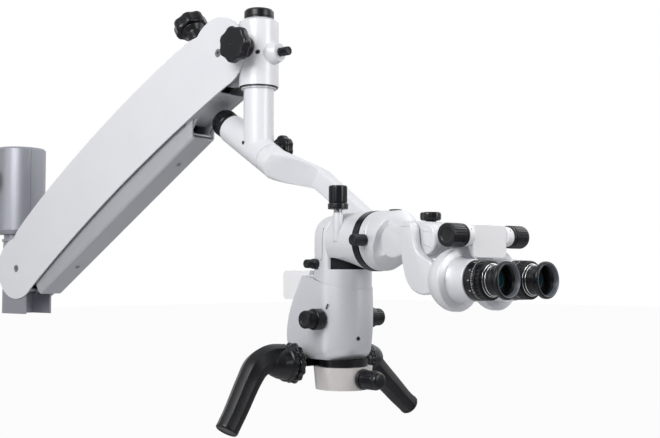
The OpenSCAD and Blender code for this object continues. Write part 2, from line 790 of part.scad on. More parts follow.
module tilt_shaft() {
    color(steel) at_scope() translate([tilt_x, 0, drum_z]) {
        bar_y(tilt_shaft_r, drum_r - tilt_shaft_r, arm_far_y + pass);
        bar_y(hub_r - head_shoulder, arm_far_y + gap, arm_far_y + tilt_cap_t);
    }
}
tilt_cap_t = 4;

// Microscope: drum and neck
drum_back = 6.3;
drum_front = 55;
drum_wall = 3;
light_r = 20;
neck_half_w = 27;
neck_back = 26;
neck_r = 33;
neck_round = 20;
neck_wall = 3;
collar_top = 6.5;
seal_l = 10;
spigot_r = 24;
spigot_lip_r = 26;
seal_r = 35.8;
drum_cut_turn = 35;
tilt_stem_x = 26;
tilt_stem_y = -31;
tilt_stem_r = 6.2;
tilt_stem_top = 78;
tilt_knob_r = 11.1;
tilt_collar_r = 12.2;
tilt_collar_h = 7;
tilt_knob_h = 28;
tilt_shaft_l = 9.3;
knob_shaft_r = 2.5;

module drum() {
    color(white) at_scope() difference() {
        union() {
            translate([0, 0, drum_z]) bar_x(drum_r, drum_back, drum_front);
            translate([tilt_x, 0, drum_z]) bar_y(hub_r - head_shoulder, light_r, arm_near_y - gap);
            translate([tilt_stem_x, tilt_stem_y, 0]) bar_z(tilt_stem_r, drum_z, tilt_stem_top);
        }
        translate([0, 0, drum_z]) {
            bar_x(drum_r - drum_wall, drum_back + drum_wall, drum_front - drum_wall);
            bar_x(spigot_r + run, drum_front - drum_wall * 2, drum_front + cut);
            bar_x(light_r, drum_back - cut, drum_front + cut);
            translate([tilt_x, 0, 0]) bar_y(tilt_shaft_r, drum_r - tilt_shaft_r, arm_far_y);
        }
        // Slanted cut that leaves a gap above the collar
        translate([drum_back, -drum_r - cut, collar_top + pass]) rotate([0, drum_cut_turn, 0])
            translate([-drum_r, 0, -drum_r]) cube([drum_r * 2, (drum_r + cut) * 2, drum_r]);
        block([drum_back - cut, -drum_r, -drum_r], [nose_r, drum_r, collar_top + gap]);
        translate([tilt_stem_x, tilt_stem_y, 0]) bar_z(knob_shaft_r + run, tilt_stem_top - tilt_knob_h / 2, tilt_stem_top + cut);
    }
}
module neck_solid(inset) {
    intersection() {
        translate([-neck_back + inset, 0, 0]) rotate([90, 0, 90]) linear_extrude(neck_back + drum_back - inset * 2) {
            translate([0, drum_z]) circle(r = neck_r - inset);
            translate([-neck_half_w + inset, collar_top + inset]) square([(neck_half_w - inset) * 2, drum_z - collar_top]);
        }
        plate_xz(-neck_r, neck_r) {
            translate([-neck_back + neck_round, drum_z + neck_r - neck_round]) circle(r = neck_round - inset);
            translate([-neck_back + inset, 0]) square([neck_back + drum_back, drum_z + neck_r - neck_round]);
            translate([-neck_back + neck_round, 0]) square([neck_back + drum_back, drum_z + neck_r - inset]);
        }
    }
}
module neck_cover() {
    color(white) at_scope() difference() {
        neck_solid(0);
        neck_solid(neck_wall);
        translate([0, 0, drum_z]) bar_x(light_r, drum_back - neck_wall * 2, drum_back + cut);
        bar_z(neck_back - neck_wall * 2, collar_top - cut, collar_top + neck_wall + cut);
        translate([filter_x, 0, filter_z]) bar_y(knob_shaft_r + run, -neck_half_w - cut, 0);
    }
}
module seal_ring() {
    color(black) at_scope() translate([0, 0, drum_z]) difference() {
        bar_x(seal_r, drum_front, drum_front + seal_l);
        bar_x(spigot_lip_r, drum_front - cut, drum_front + seal_l + cut);
    }
}
module tilt_knob() {
    color(black) at_scope() translate([tilt_stem_x, tilt_stem_y, tilt_stem_top + gap]) {
        bar_z(knob_shaft_r, -tilt_shaft_l, tilt_collar_h);
        bar_z(tilt_collar_r, 0, tilt_collar_h);
        translate([0, 0, tilt_collar_h - flute_start]) fluted_knob(tilt_knob_r, tilt_knob_h - tilt_collar_h + flute_start, flutes_many);
    }
}

// Microscope body
body_wall = 3;
body_half_w = nose_r;
collar_r = nose_r - 1.5;
objective_hole_r = 25;
// Side outline of the body from the rear top corner round to the front, as shares of its reach and depth
body_shares = [[-0.555, 0.005], [-0.766, 0.232], [-0.93, 0.458], [-1, 0.66], [-0.983, 0.836],
    [-0.9, 0.93], [-0.77, 0.985], [-0.6, 1]];
// The front edge, as shares of the nose radius and the depth
nose_shares = [[0.6, 1], [0.78, 0.96], [0.905, 0.8], [0.984, 0.62], [1, 0.39], [0.97, 0.17]];
// The seam under the collar, from front to rear
seam_shares = [[0.97, 0.165], [0.6, 0.155], [0.35, 0.12], [-0.38, 0.045], [-1.06, 0.005]];
body_outline = concat(
    [for (p = body_shares) [body_back * p[0], -body_drop * p[1]]],
    [for (p = nose_shares) [nose_r * p[0], -body_drop * p[1]]],
    [for (p = seam_shares) [nose_r * p[0], -body_drop * p[1]]]);
body_middle_share = 0.2;
body_low_share = 0.55;
body_centre = [-body_back * body_middle_share, -body_drop * body_low_share];
mag_z = -53;
mag_shaft_r = 5;
mag_drum_r = 24;
mag_drum_half = 20;
mag_lens_r = 5.5;
mag_lens_place = 7;
mag_base_r = 12.8;
mag_base_l = 12;
mag_grip_r = 10.8;
mag_grip_l = 13;
filter_x = -17;
filter_z = 13.5;
filter_base_r = 6.3;
filter_grip_r = 5.4;
filter_l = 18;
plug_z = -76;

module body_solid(k) {
    points = [for (p = body_outline) body_centre + (p - body_centre) * k];
    intersection() {
        plate_xz(-body_half_w * k, body_half_w * k) polygon(points);
        union() {
            bar_z(nose_r * k, -body_drop - cut, cut);
            block([-body_back - cut, -body_half_w * k, -body_drop - cut], [0, body_half_w * k, cut]);
        }
    }
}
module body_shell() {
    k = 1 - body_wall / nose_r;
    color(white) at_scope() difference() {
        body_solid(1);
        body_solid(k);
        bar_z(objective_hole_r, -body_drop - cut, -body_drop + body_wall * 3);
        bar_z(light_r, -body_drop / 2, cut);
        translate([0, 0, mag_z]) bar_y(mag_shaft_r + run, -nose_r - cut, nose_r + cut);
        rotate(-plug_body_turn) translate([0, 0, plug_z]) bar_x(plug_hole_r, nose_r / 2, nose_r + cut);
    }
}
plug_body_turn = 10;
module body_collar() {
    color(white) at_scope() difference() {
        bar_z(collar_r, -body_drop * seam_shares[0][1], collar_top);
        bar_z(light_r, -body_drop, collar_top + cut);
        plate_xz(-nose_r, nose_r) polygon(concat([for (p = seam_shares) [nose_r * p[0], -body_drop * p[1]]],
            [[-body_back, 0], [-body_back, -body_drop], [nose_r, -body_drop]]));
    }
}
lamp_back = 90;
lamp_half_w = 22;
lamp_low = 31;
lamp_round = 6;
module lamp_housing() {
    top = collar_top - cut;
    color(white) at_scope() difference() {
        plate_xz(-lamp_half_w, lamp_half_w) difference() {
            union() {
                translate([-lamp_back + lamp_round, top - lamp_round]) circle(r = lamp_round);
                translate([-lamp_back + lamp_round, lamp_round - lamp_low]) circle(r = lamp_round);
                translate([-lamp_back, lamp_round - lamp_low]) square([lamp_l, lamp_low + top - lamp_round * 2]);
                translate([-lamp_back + lamp_round, -lamp_low]) square([lamp_l, lamp_low + top]);
            }
            // The housing follows the back of the body
            polygon(concat([[-collar_r, top + cut]], body_outline, [[nose_r, top + cut]]));
        }
        block([-lamp_back + body_wall, -lamp_half_w + body_wall, body_wall - lamp_low],
            [-body_back, lamp_half_w - body_wall, top - body_wall]);
        bar_z(collar_r + gap, -body_drop, collar_top + cut);
    }
}
lamp_l = 56;
module magnification_changer() {
    out = body_half_w + gap;
    color(black) at_scope() translate([0, 0, mag_z]) {
        bar_y(mag_shaft_r, -out - mag_base_l, out + mag_base_l);
        difference() {
            bar_y(mag_drum_r, -mag_drum_half, mag_drum_half);
            // Two pairs of lens holes that cross in the drum
            for (a = [0, 90])
                rotate([0, a, 0]) for (s = [-1, 1])
                    translate([0, s * mag_lens_place, 0]) bar_z(mag_lens_r, -mag_drum_r - cut, mag_drum_r + cut);
        }
        for (s = [0, 1])
            mirror([0, s, 0]) translate([0, out, 0]) rotate([-90, 0, 0]) {
                cylinder(r = mag_base_r, h = mag_base_l);
                translate([0, 0, mag_base_l - flute_start]) fluted_knob(mag_grip_r, mag_grip_l + flute_start, 16);
            }
    }
}
module filter_knob() {
    color(black) at_scope() translate([filter_x, 0, filter_z]) {
        bar_y(knob_shaft_r, -neck_half_w - filter_l / 2, -neck_half_w + neck_wall + gap);
        translate([0, -neck_half_w - gap, 0]) rotate([90, 0, 0]) {
            cylinder(r = filter_base_r, h = filter_l / 2);
            translate([0, 0, filter_l / 2 - flute_start]) fluted_knob(filter_grip_r, filter_l / 2 + flute_start, flutes_few);
        }
    }
}

// Handle carrier, objective and focus
ring_r = 30;
ring_t = 9;
ring_low = -body_drop - ring_t;
hub_back = 32;
hub_in = 49;
arm_w = 14;
stud_r = 6;
stud_end = 74;
handle_z = ring_low + ring_t / 2;
handle_star_r = 25;
handle_star_h = 9;
handle_hub_r = 22;
handle_hub_l = 8;
bell_l = 12;
bell_r = 13;
handle_start = hub_in + handle_star_h + gap * 2;
objective_h = 27;
objective_low_r = 33.5;
objective_bore = 27;
objective_step = 8;
cell_r = objective_bore - gap;
cell_h = 9;
cell_rise = 6;
lens_r = 22;
lens_t = 5;
focus_base_r = 12.3;
focus_base_l = 5;
focus_grip_r = 11.4;
focus_l = 32;
focus_tip_r = 9;
focus_z = ring_low - objective_h / 2;

module handle_ring() {
    color(black) at_scope() difference() {
        union() {
            bar_z(ring_r, ring_low, ring_low + ring_t);
            for (s = [0, 1])
                mirror([0, s, 0]) {
                    block([-hub_back - arm_w / 2, 0, ring_low], [-hub_back + arm_w / 2, hub_in, ring_low + ring_t]);
                    translate([-hub_back, 0, handle_z]) bar_y(stud_r, hub_in - cut, stud_end);
                }
            block([-hub_back - arm_w / 2, -ring_r / 2, ring_low], [0, ring_r / 2, ring_low + ring_t]);
        }
        bar_z(objective_hole_r, ring_low - cut, ring_low + ring_t + cut);
    }
}
module objective_housing() {
    color(silver) at_scope() difference() {
        translate([0, 0, ring_low - objective_h]) cylinder(r1 = objective_low_r, r2 = objective_r, h = objective_h);
        bar_z(objective_bore, ring_low - objective_h - cut, ring_low - objective_step);
        bar_z(objective_hole_r, ring_low - objective_step - cut, ring_low + cut);
        translate([0, 0, focus_z]) bar_x(knob_shaft_r + run, 0, objective_r + cut);
        translate([0, 0, focus_z]) bar_x(focus_base_r + gap, objective_low_r + cut, objective_r + cut);
    }
}
module objective_cell() {
    low = ring_low - objective_h + cell_rise;
    color(black) at_scope() difference() {
        bar_z(cell_r, low, low + cell_h);
        bar_z(lens_r, low - cut, low + cell_h + cut);
    }
    color(glassy) at_scope() bar_z(lens_r, low + cell_h / 2 - lens_t / 2, low + cell_h / 2 + lens_t / 2);
}
module focus_knob() {
    start = objective_low_r + cut + gap;
    color(black) at_scope() translate([0, 0, focus_z]) {
        bar_x(knob_shaft_r, objective_bore + gap, start + focus_base_l);
        bar_x(focus_base_r, start, start + focus_base_l);
        translate([start + focus_base_l - flute_start, 0, 0]) rotate([0, 90, 0])
            fluted_knob(focus_grip_r, focus_l - focus_base_l * 2 + flute_start, flutes_some);
        bar_x(focus_tip_r, start + focus_l - focus_base_l * 2, start + focus_l);
    }
}
// Grip routes behind, beside and below the viewing axis: hub, elbow and end
root_out = 8;
root_back = 6;
root_rise = 10;
elbow_back = 5;
left_elbow_out = 105;
left_elbow_drop = 6;
left_end_drop = 76;
right_elbow_out = 92;
right_elbow_drop = 31;
right_end_drop = 72;
right_back = 2;
right_end_back = 3;
handle_route_left = [[-hub_back - root_back, handle_start + root_out, handle_z + root_rise],
    [-hub_back - elbow_back, left_elbow_out, -body_drop - left_elbow_drop],
    [-hub_back, handle_spread, -body_drop - left_end_drop]];
handle_route_right = [[-hub_back - right_back, handle_start + root_back, handle_z - right_back],
    [-hub_back - right_back, right_elbow_out, -body_drop - right_elbow_drop],
    [-hub_back - right_end_back, handle_spread, -body_drop - right_end_drop]];
module handle(route, side) {
    color(black) at_scope() mirror([0, side > 0 ? 0 : 1, 0]) difference() {
        union() {
            translate([-hub_back, 0, handle_z]) {
                bar_y(handle_hub_r, handle_start, handle_start + handle_hub_l);
                translate([0, handle_start + handle_hub_l, 0]) rotate([-90, 0, 0])
                    cylinder(r1 = handle_hub_r - star_edge, r2 = bell_r, h = bell_l);
            }
            rod(route[0], route[1], grip_r);
            translate(route[1]) sphere(r = grip_r + gap);
            rod(route[1], route[2], grip_r);
        }
        block([-body_back * 2, 0, -body_drop * 3], [body_back * 2, handle_start, 0]);
        translate([-hub_back, 0, handle_z]) bar_y(stud_r + run, 0, stud_end + gap);
    }
}
module handle_left() {
    handle(handle_route_left, -1);
}
module handle_right() {
    handle(handle_route_right, 1);
}
module handle_knob(side) {
    color(black) at_scope() mirror([0, side > 0 ? 0 : 1, 0]) translate([-hub_back, hub_in + gap, handle_z])
        rotate([-90, 0, 0]) difference() {
            star_knob(handle_star_r, handle_star_h, star_lobes * 2, 0, 0);
            translate([0, 0, -cut]) cylinder(r = stud_r + run, h = handle_star_h + cut * 2);
        }
}
module handle_knob_left() {
    handle_knob(-1);
}
module handle_knob_right() {
    handle_knob(1);
}

// Binocular tube
tube_back = drum_front + seal_l + gap;
tube_flange_l = 12.6;
tube_cone_l = 9;
tube_cone_r = 31;
nose_half_h = 26;
fold_x = 118;
fold_z = 42;
fold_r = 19;
base_half = 21;
link_in = base_half + pass;
link_out = 34;
link_r = 17;
hub2_x = 166;
hub2_z = 38;
hub2_r = 19.7;
fold_pin_r = 5;
bridge_x = 142;
bridge_l = 12;
fold_knob_r = 12;
fold_knob_h = 10;
tube_lock_x = 76;
tube_lock_r = 7;
tube_lock_l = 18;
cheek_out = 46;
lobe_x = 171;
lobe_z = -3;
lobe_r = 19;
block_back = 188;
block_front = 233;
block_half = 27.5;
block_low = 31;
block_top = 53;
lip_t = 6;
lip_low = 19;
ipd_x = 226;
ipd_z = 41;
ipd_shaft_r = 3;
ipd_collar_r = 11;
ipd_collar_l = 9;
ipd_knob_l = 24;
ipd_travel = 4.5;
pod_back = 192;
pod_front = 222;
pod_r = 33;
pod_round = 8;
eye_z = -5.5;
barrel_r = 22;
barrel_end = 241;
eye_body_r = 21;
eye_waist_r = 17.5;
eye_body_end = 262;
eyecup_start = 270;
eye_glass_r = 13;
slide_half_h = 8;
slide_l = 6;

module tube_base() {
    color(white) at_scope() difference() {
        union() {
            translate([0, 0, drum_z]) {
                bar_x(drum_r, tube_back, tube_back + tube_flange_l);
                translate([tube_back + tube_flange_l, 0, 0]) rotate([0, 90, 0])
                    cylinder(r1 = drum_r, r2 = tube_cone_r, h = tube_cone_l);
                bar_x(spigot_r, drum_front - drum_wall * 2, tube_back + cut);
                bar_x(spigot_lip_r, drum_front - drum_wall * 2 - gap, drum_front - drum_wall - gap);
            }
            plate_xz(-base_half, base_half) polygon([[tube_back + cut, drum_z - nose_half_h],
                [fold_x - fold_r * 2, drum_z - nose_half_h], [fold_x, fold_z - fold_r],
                [fold_x, fold_z + fold_r], [tube_back + tube_flange_l, drum_z + nose_half_h], [tube_back + cut, drum_z + nose_half_h]]);
            translate([fold_x, 0, fold_z]) bar_y(fold_r, -base_half, base_half);
        }
        translate([0, 0, drum_z]) bar_x(light_r - head_shoulder, drum_back, fold_x - fold_r - gap);
        translate([fold_x, 0, fold_z]) bar_y(fold_pin_r, -link_out, link_out);
        // Undercut below the front of the flange
        translate([tube_lock_x, -drum_r - cut, drum_z - drum_r]) rotate([0, -drum_cut_turn, 0])
            translate([-drum_r, 0, -drum_r]) cube([drum_r * 4, (drum_r + cut) * 2, drum_r]);
        translate([tube_lock_x, 0, drum_z]) bar_y(knob_shaft_r + run, -drum_r - cut, cut - light_r);
    }
}
module tube_lock_knob() {
    color(black) at_scope() translate([tube_lock_x, 0, drum_z]) {
        bar_y(knob_shaft_r, -drum_r - tube_lock_l / 2, -light_r - cut);
        translate([0, -drum_r - gap, 0]) rotate([90, 0, 0]) fluted_knob(tube_lock_r, tube_lock_l, flutes_some);
    }
}
module link_outline() {
    translate([fold_x, fold_z]) circle(r = link_r);
    translate([hub2_x, hub2_z]) circle(r = hub2_r);
    polygon([[fold_x, fold_z + link_r], [hub2_x, hub2_z + hub2_r], [hub2_x, hub2_z - hub2_r], [fold_x, fold_z - link_r]]);
}
module fold_link() {
    color(white) at_scope() difference() {
        union() {
            for (s = [0, 1])
                mirror([0, s, 0]) plate_xz(link_in, link_out) link_outline();
            translate([hub2_x, 0, hub2_z]) bar_y(hub2_r, -link_out, link_out);
            block([bridge_x, -link_out, fold_z + link_r - head_shoulder], [bridge_x + bridge_l, link_out, fold_z + link_r - cut]);
            translate([fold_x, 0, fold_z]) bar_y(fold_pin_r - run, -link_out, link_out);
            block([bridge_x + cut, -link_out, hub2_z], [hub2_x, link_out, fold_z + link_r - cut]);
        }
        translate([hub2_x, 0, hub2_z]) bar_y(fold_pin_r, -cheek_out, cheek_out);
        translate([bridge_x + bridge_l / 2, 0, 0]) bar_z(knob_shaft_r + run, hub2_z + cut, fold_z + link_r + cut);
    }
}
module fold_knob() {
    color(black) at_scope() translate([bridge_x + bridge_l / 2, 0, 0]) {
        bar_z(knob_shaft_r, hub2_z + hub2_r / 2, fold_z + link_r + cut);
        translate([0, 0, fold_z + link_r - cut + gap]) star_knob(fold_knob_r, fold_knob_h, star_lobes - 2, knob_shaft_r * 2, star_edge);
    }
}
module ocular_frame() {
    color(white) at_scope() difference() {
        union() {
            for (s = [0, 1])
                mirror([0, s, 0]) plate_xz(link_out + pass, cheek_out) {
                    translate([hub2_x, hub2_z]) circle(r = hub2_r);
                    translate([lobe_x, lobe_z]) circle(r = lobe_r);
                    polygon([[hub2_x - hub2_r * cheek_share, hub2_z], [hub2_x + hub2_r, hub2_z],
                        [lobe_x + lobe_r, lobe_z], [lobe_x - lobe_r * cheek_share, lobe_z]]);
                }
            translate([hub2_x, 0, hub2_z]) bar_y(fold_pin_r - run, -cheek_out, cheek_out);
            // Cross block behind the eyepieces
            block([lobe_x, -cheek_out, lobe_z - lobe_r / 2], [pod_back - gap, cheek_out, lobe_z + lobe_r / 2]);
            // Upper block with its lip above the barrels
            block([block_back, -block_half, block_low], [block_front, block_half, block_top]);
            block([block_front - lip_t, -block_half, lip_low], [block_front, block_half, block_low + cut]);
            block([block_back, -block_half / 2, lobe_z], [pod_back - gap, block_half / 2, block_top - cut]);
            // Rail that the two pods slide on
            block([pod_back - gap - cut, -cheek_out, eye_z - slide_half_h], [pod_back + slide_l, cheek_out, eye_z + slide_half_h]);
            translate([ipd_x, 0, ipd_z]) bar_y(ipd_collar_r, -block_half - ipd_collar_l, block_half + ipd_collar_l);
        }
        translate([ipd_x, 0, ipd_z]) bar_y(ipd_shaft_r + run, -cheek_out * 2, cheek_out * 2);
    }
}
cheek_share = 0.6;
module ipd_knobs() {
    start = block_half + ipd_collar_l + gap;
    color(black) at_scope() translate([ipd_x, 0, ipd_z]) {
        bar_y(ipd_shaft_r, -start - ipd_knob_l / 2, start + ipd_knob_l / 2);
        for (s = [0, 1])
            mirror([0, s, 0]) translate([0, start, 0]) rotate([-90, 0, 0]) fluted_knob(ipd_knob_r, ipd_knob_l, flutes_many);
    }
}
module pod(side) {
    inner = half_ipd - ipd_travel - gap;
    color(white) at_scope() mirror([0, side > 0 ? 0 : 1, 0]) translate([0, half_ipd, eye_z]) difference() {
        union() {
            translate([pod_back, 0, 0]) rotate([0, 90, 0]) cylinder(r1 = pod_r - pod_round / 2, r2 = pod_r, h = pod_round);
            bar_x(pod_r, pod_back + pod_round, pod_front - pod_round);
            translate([pod_front - pod_round, 0, 0]) rotate([0, 90, 0])
                cylinder(r1 = pod_r, r2 = barrel_r + pod_round / 2, h = pod_round);
            bar_x(barrel_r, pod_front - cut, barrel_end);
        }
        bar_x(eye_waist_r, pod_back + pod_round, barrel_end + cut);
        block([0, -pod_r * 2, -pod_r * 2], [barrel_end * 2, -inner, pod_r * 2]);
        block([pod_back - cut, -pod_r * 2, -slide_half_h - run],
            [pod_back + slide_l + gap, cheek_out - half_ipd + ipd_travel + gap, slide_half_h + run]);
    }
}
module pod_left() {
    pod(-1);
}
module pod_right() {
    pod(1);
}
module eyepiece(side) {
    color(black) at_scope() translate([0, side * half_ipd, eye_z]) difference() {
        union() {
            bar_x(eye_waist_r - run, pod_front - pod_round, barrel_end + cut);
            bar_x(eye_body_r, barrel_end + gap, eye_body_end);
            bar_x(eye_waist_r, eye_body_end - cut, eyecup_start + cut);
            translate([eyecup_start, 0, 0]) rotate([0, 90, 0])
                cylinder(r1 = eye_waist_r, r2 = eyecup_r, h = eye_reach - eyecup_start);
        }
        bar_x(eye_glass_r, pod_back, eyecup_start - eye_lens_t);
        translate([eyecup_start, 0, 0]) rotate([0, 90, 0])
            cylinder(r1 = eye_glass_r, r2 = eyecup_r - star_edge, h = eye_reach - eyecup_start + run);
    }
    color(glassy) at_scope() translate([0, side * half_ipd, eye_z]) bar_x(eye_glass_r, eyecup_start - eye_lens_t, eyecup_start);
}
eye_lens_t = 4;
module eyepiece_left() {
    eyepiece(-1);
}
module eyepiece_right() {
    eyepiece(1);
}

column_core();
column_cover_near();
column_cover_far();
column_cover_screws();
column_bushes();
column_clamp_knob();
bracket();
bracket_spindle();
lower_pivot_pins();
arm_frame();
arm_side_near();
arm_side_far();
arm_top_cover();
arm_under_cover();
under_cover_screws();
arm_bushes();
balance_spring();
spring_rod();
parallel_rods();
balance_knob();
head_block();
head_bushes();
head_cap();
upper_pivot_pins();
head_brake_knob();
head_stop_knob();
hanger();
hanger_spindle();
rear_clamp_cap();
swing_lock_knob();
swing_arm();
swing_shaft();
tilt_shaft();
drum();
neck_cover();
body_shell();
body_collar();
lamp_housing();
handle_ring();
objective_housing();
objective_cell();
focus_knob();
magnification_changer();
filter_knob();
tilt_knob();
handle_left();
handle_right();
handle_knob_left();
handle_knob_right();
seal_ring();
tube_base();
tube_lock_knob();
fold_link();
fold_knob();
ocular_frame();
ipd_knobs();
pod_left();
pod_right();
eyepiece_left();
eyepiece_right();
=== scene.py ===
import math

import bpy
import bmesh
from mathutils import Matrix, Vector


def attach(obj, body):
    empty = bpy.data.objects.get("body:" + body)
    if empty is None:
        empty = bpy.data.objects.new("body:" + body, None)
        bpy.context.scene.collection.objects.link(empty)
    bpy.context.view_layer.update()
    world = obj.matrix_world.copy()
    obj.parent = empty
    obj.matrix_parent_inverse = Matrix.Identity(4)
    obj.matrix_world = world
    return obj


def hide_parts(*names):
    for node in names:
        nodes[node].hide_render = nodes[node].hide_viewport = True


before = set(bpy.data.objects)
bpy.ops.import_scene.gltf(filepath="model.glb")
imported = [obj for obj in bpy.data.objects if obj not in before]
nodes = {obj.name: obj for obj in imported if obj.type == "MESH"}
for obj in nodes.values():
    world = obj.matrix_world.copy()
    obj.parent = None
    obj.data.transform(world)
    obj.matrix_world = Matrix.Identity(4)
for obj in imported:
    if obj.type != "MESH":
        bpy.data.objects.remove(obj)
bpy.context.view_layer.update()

# Sizes are written in millimetres and turned to metres by this one value
MM = 0.001


# ------------------------------------------------ places
# Angles and lengths of the carrying pieces at rest, the same as in the part's source
ARM_YAW = math.radians(11)
ARM_RISE = math.radians(32.7)
SWING_SLOPE = math.radians(30)
LOWER_PIVOT = Vector((33.6, 0, -203.4))
HEAD_AXIS_X = 545.45
HEAD_LEVEL = 92.65
LEVEL_LINE = -214.0
AXIS_DROP = 135.95
SCOPE_REACH = 173.2
# In the microscope's own frame x runs forward, y to the far side and z up
TUBE_LEVEL = 40
TUBE_R = 35.3
TILT_AXIS_X = 33
SWING_PLANE_Y = 49.25
CHANGER_LEVEL = -53
HINGE = (118, 0, 38.5)
SPREAD_AXIS = (226, 0, 41)
EYE_LEVEL = -5.5
EYE_HALF_SPACE = 32


def shifted(x, y, z):
    return Matrix.Translation((x, y, z))


def turned_by(angle, axis):
    return Matrix.Rotation(angle, 4, axis)


# Turns that lay a piece drawn upwards along another axis
TO_NEAR = turned_by(math.radians(90), "X")
TO_FAR = turned_by(math.radians(-90), "X")
TO_FRONT = turned_by(math.radians(90), "Y")
TO_BACK = turned_by(math.radians(-90), "Y")
BOTH_SIDES = ((-1, TO_NEAR), (1, TO_FAR))

# Frames of the carrying pieces
ARM_SIDE = turned_by(ARM_YAW, "Z")
LINK = ARM_SIDE @ shifted(*LOWER_PIVOT) @ turned_by(-ARM_RISE, "Y")
HEAD = ARM_SIDE @ shifted(HEAD_AXIS_X, 0, HEAD_LEVEL)
HEAD_X = HEAD_AXIS_X * math.cos(ARM_YAW)
HEAD_Y = HEAD_AXIS_X * math.sin(ARM_YAW)
HANGER = shifted(HEAD_X, HEAD_Y, HEAD_LEVEL)
INCLINE = HANGER @ shifted(0, 0, -AXIS_DROP)
SWING = INCLINE @ turned_by(SWING_SLOPE, "Y")
SCOPE = shifted(HEAD_X + SCOPE_REACH, HEAD_Y, LEVEL_LINE)
ON_TUBE_AXIS = shifted(0, 0, TUBE_LEVEL) @ TO_FRONT


# ------------------------------------------------ finishes
def linear(colour):
    """An sRGB hex colour as linear red, green, blue and full cover."""
    channels = [int(colour[i:i + 2], 16) / 255 for i in (1, 3, 5)]
    return [c / 12.92 if c <= 0.04045 else ((c + 0.055) / 1.055) ** 2.4 for c in channels] + [1.0]


def add(tree, kind, links=None, **settings):
    """Adds a node, sets its properties or its sockets' values, and links its inputs."""
    node = tree.nodes.new(kind)
    for key, value in settings.items():
        if key in node.bl_rna.properties:
            setattr(node, key, value)
        else:
            node.inputs[key.replace("_", " ")].default_value = value
    for key, source in (links or {}).items():
        tree.links.new(source, node.inputs[key])
    return node


def finish(name, colour, patch, rough, rough_patch, grain_mm, grain_height_mm, patch_mm=60.0, **more):
    """A painted, moulded or turned surface: two near colours in soft patches, which also change the
    gloss from rough to rough_patch, and a grain in the bump. Every real grain here that is finer than
    0.2 mm wouldn't show in the picture, so it is drawn at grain_mm, as coarse as it needs to show."""
    material = bpy.data.materials.new(name)
    material.use_nodes = True
    tree = material.node_tree
    tree.nodes.clear()
    place = add(tree, "ShaderNodeTexCoord").outputs["Object"]
    patches = add(tree, "ShaderNodeTexNoise", {"Vector": place}, Scale=1 / (patch_mm * MM), Detail=3.0)
    grain = add(tree, "ShaderNodeTexNoise", {"Vector": place}, Scale=1 / (grain_mm * MM), Detail=2.0)
    tint = add(tree, "ShaderNodeMix", {"Factor": patches.outputs["Fac"]}, data_type="RGBA")
    tint.inputs[6].default_value = linear(colour)
    tint.inputs[7].default_value = linear(patch)
    gloss = add(tree, "ShaderNodeMapRange", {"Value": patches.outputs["Fac"]},
                To_Min=rough, To_Max=rough_patch)
    bump = add(tree, "ShaderNodeBump", {"Height": grain.outputs["Fac"]}, Strength=0.6,
               Distance=grain_height_mm * MM)
    shader = add(tree, "ShaderNodeBsdfPrincipled", {
        "Base Color": tint.outputs[2],
        "Roughness": gloss.outputs["Result"],
        "Normal": bump.outputs["Normal"]}, **more)
    add(tree, "ShaderNodeOutputMaterial", {"Surface": shader.outputs["BSDF"]})
    return material


# Stoved white enamel on sheet steel: smooth and bright, with a sprayed coat's faint orange peel in
# waves of 1.6 mm
arm_enamel = finish("stoved_white_enamel", "#E8E9ED", "#E1E2E7", 0.3, 0.38, 1.6, 0.006,
                    IOR=1.5, Coat_Weight=0.3, Coat_Roughness=0.12)
# Pearl enamel on the cast housings: light silver, it shows soft dark and bright bands where it curves.
# The real flake is about 0.05 mm across and is drawn at 0.5 mm
body_enamel = finish("pearl_metallic_enamel", "#E0E1E5", "#DADBE0", 0.4, 0.48, 0.5, 0.006,
                     Metallic=0.2, Specular_IOR_Level=0.4)
# The same enamel in silver on the microscope body: more flake, so its rounded nose falls darker to the side
body_silver = finish("pearl_silver_enamel", "#DBDDE2", "#D5D7DD", 0.36, 0.44, 0.5, 0.006,
                     Metallic=0.35, Specular_IOR_Level=0.4)
# Silver grey paint on the column: satin, it darkens towards its edges. Its metal flake is drawn as above
column_paint = finish("silver_grey_paint", "#B2B4BC", "#A8AAB3", 0.38, 0.46, 0.5, 0.008, Metallic=0.6)
# Pale grey paint on folded sheet: satin and even, with a sprayed coat's waves of 1 mm
tray_paint = finish("pale_grey_sheet_paint", "#C3C5CA", "#BABCC2", 0.38, 0.46, 1.0, 0.006, Metallic=0.4)
# Moulded white ABS of the lamp cover and the upper block: smooth, brighter than the castings,
# its mould's grain drawn at 0.6 mm
lamp_abs = finish("moulded_white_abs", "#F1F1F3", "#EBEBEE", 0.4, 0.46, 0.6, 0.008, IOR=1.53)
# Glass-filled nylon of the knobs: black with a soft sheen, its mould's grain drawn at 0.7 mm
black_nylon = finish("moulded_black_nylon", "#0D0E13", "#121319", 0.26, 0.34, 0.7, 0.015, patch_mm=18,
                     IOR=1.53, Specular_IOR_Level=0.4)
# Soft black moulding of the handles: a finer grain, drawn at 0.4 mm, and a long soft highlight
black_grip = finish("soft_black_grip", "#0C0D11", "#111217", 0.3, 0.38, 0.4, 0.001, patch_mm=30,
                    IOR=1.5, Specular_IOR_Level=0.35)
# Black anodised aluminium: deep black, a satin glint at its edges, its fine blasting drawn at 0.3 mm
black_anodised = finish("black_anodised_aluminium", "#0B0C10", "#101116", 0.26, 0.34, 0.3, 0.004, patch_mm=14,
                        IOR=1.5, Specular_IOR_Level=0.4)
# Natural rubber round the eyepiece's lens: matt and almost without glint, its grain drawn at 0.5 mm
eyecup_rubber = finish("matt_eyecup_rubber", "#0E0F12", "#131418", 0.4, 0.5, 0.5, 0.01, patch_mm=10,
                       IOR=1.5, Specular_IOR_Level=0.35)
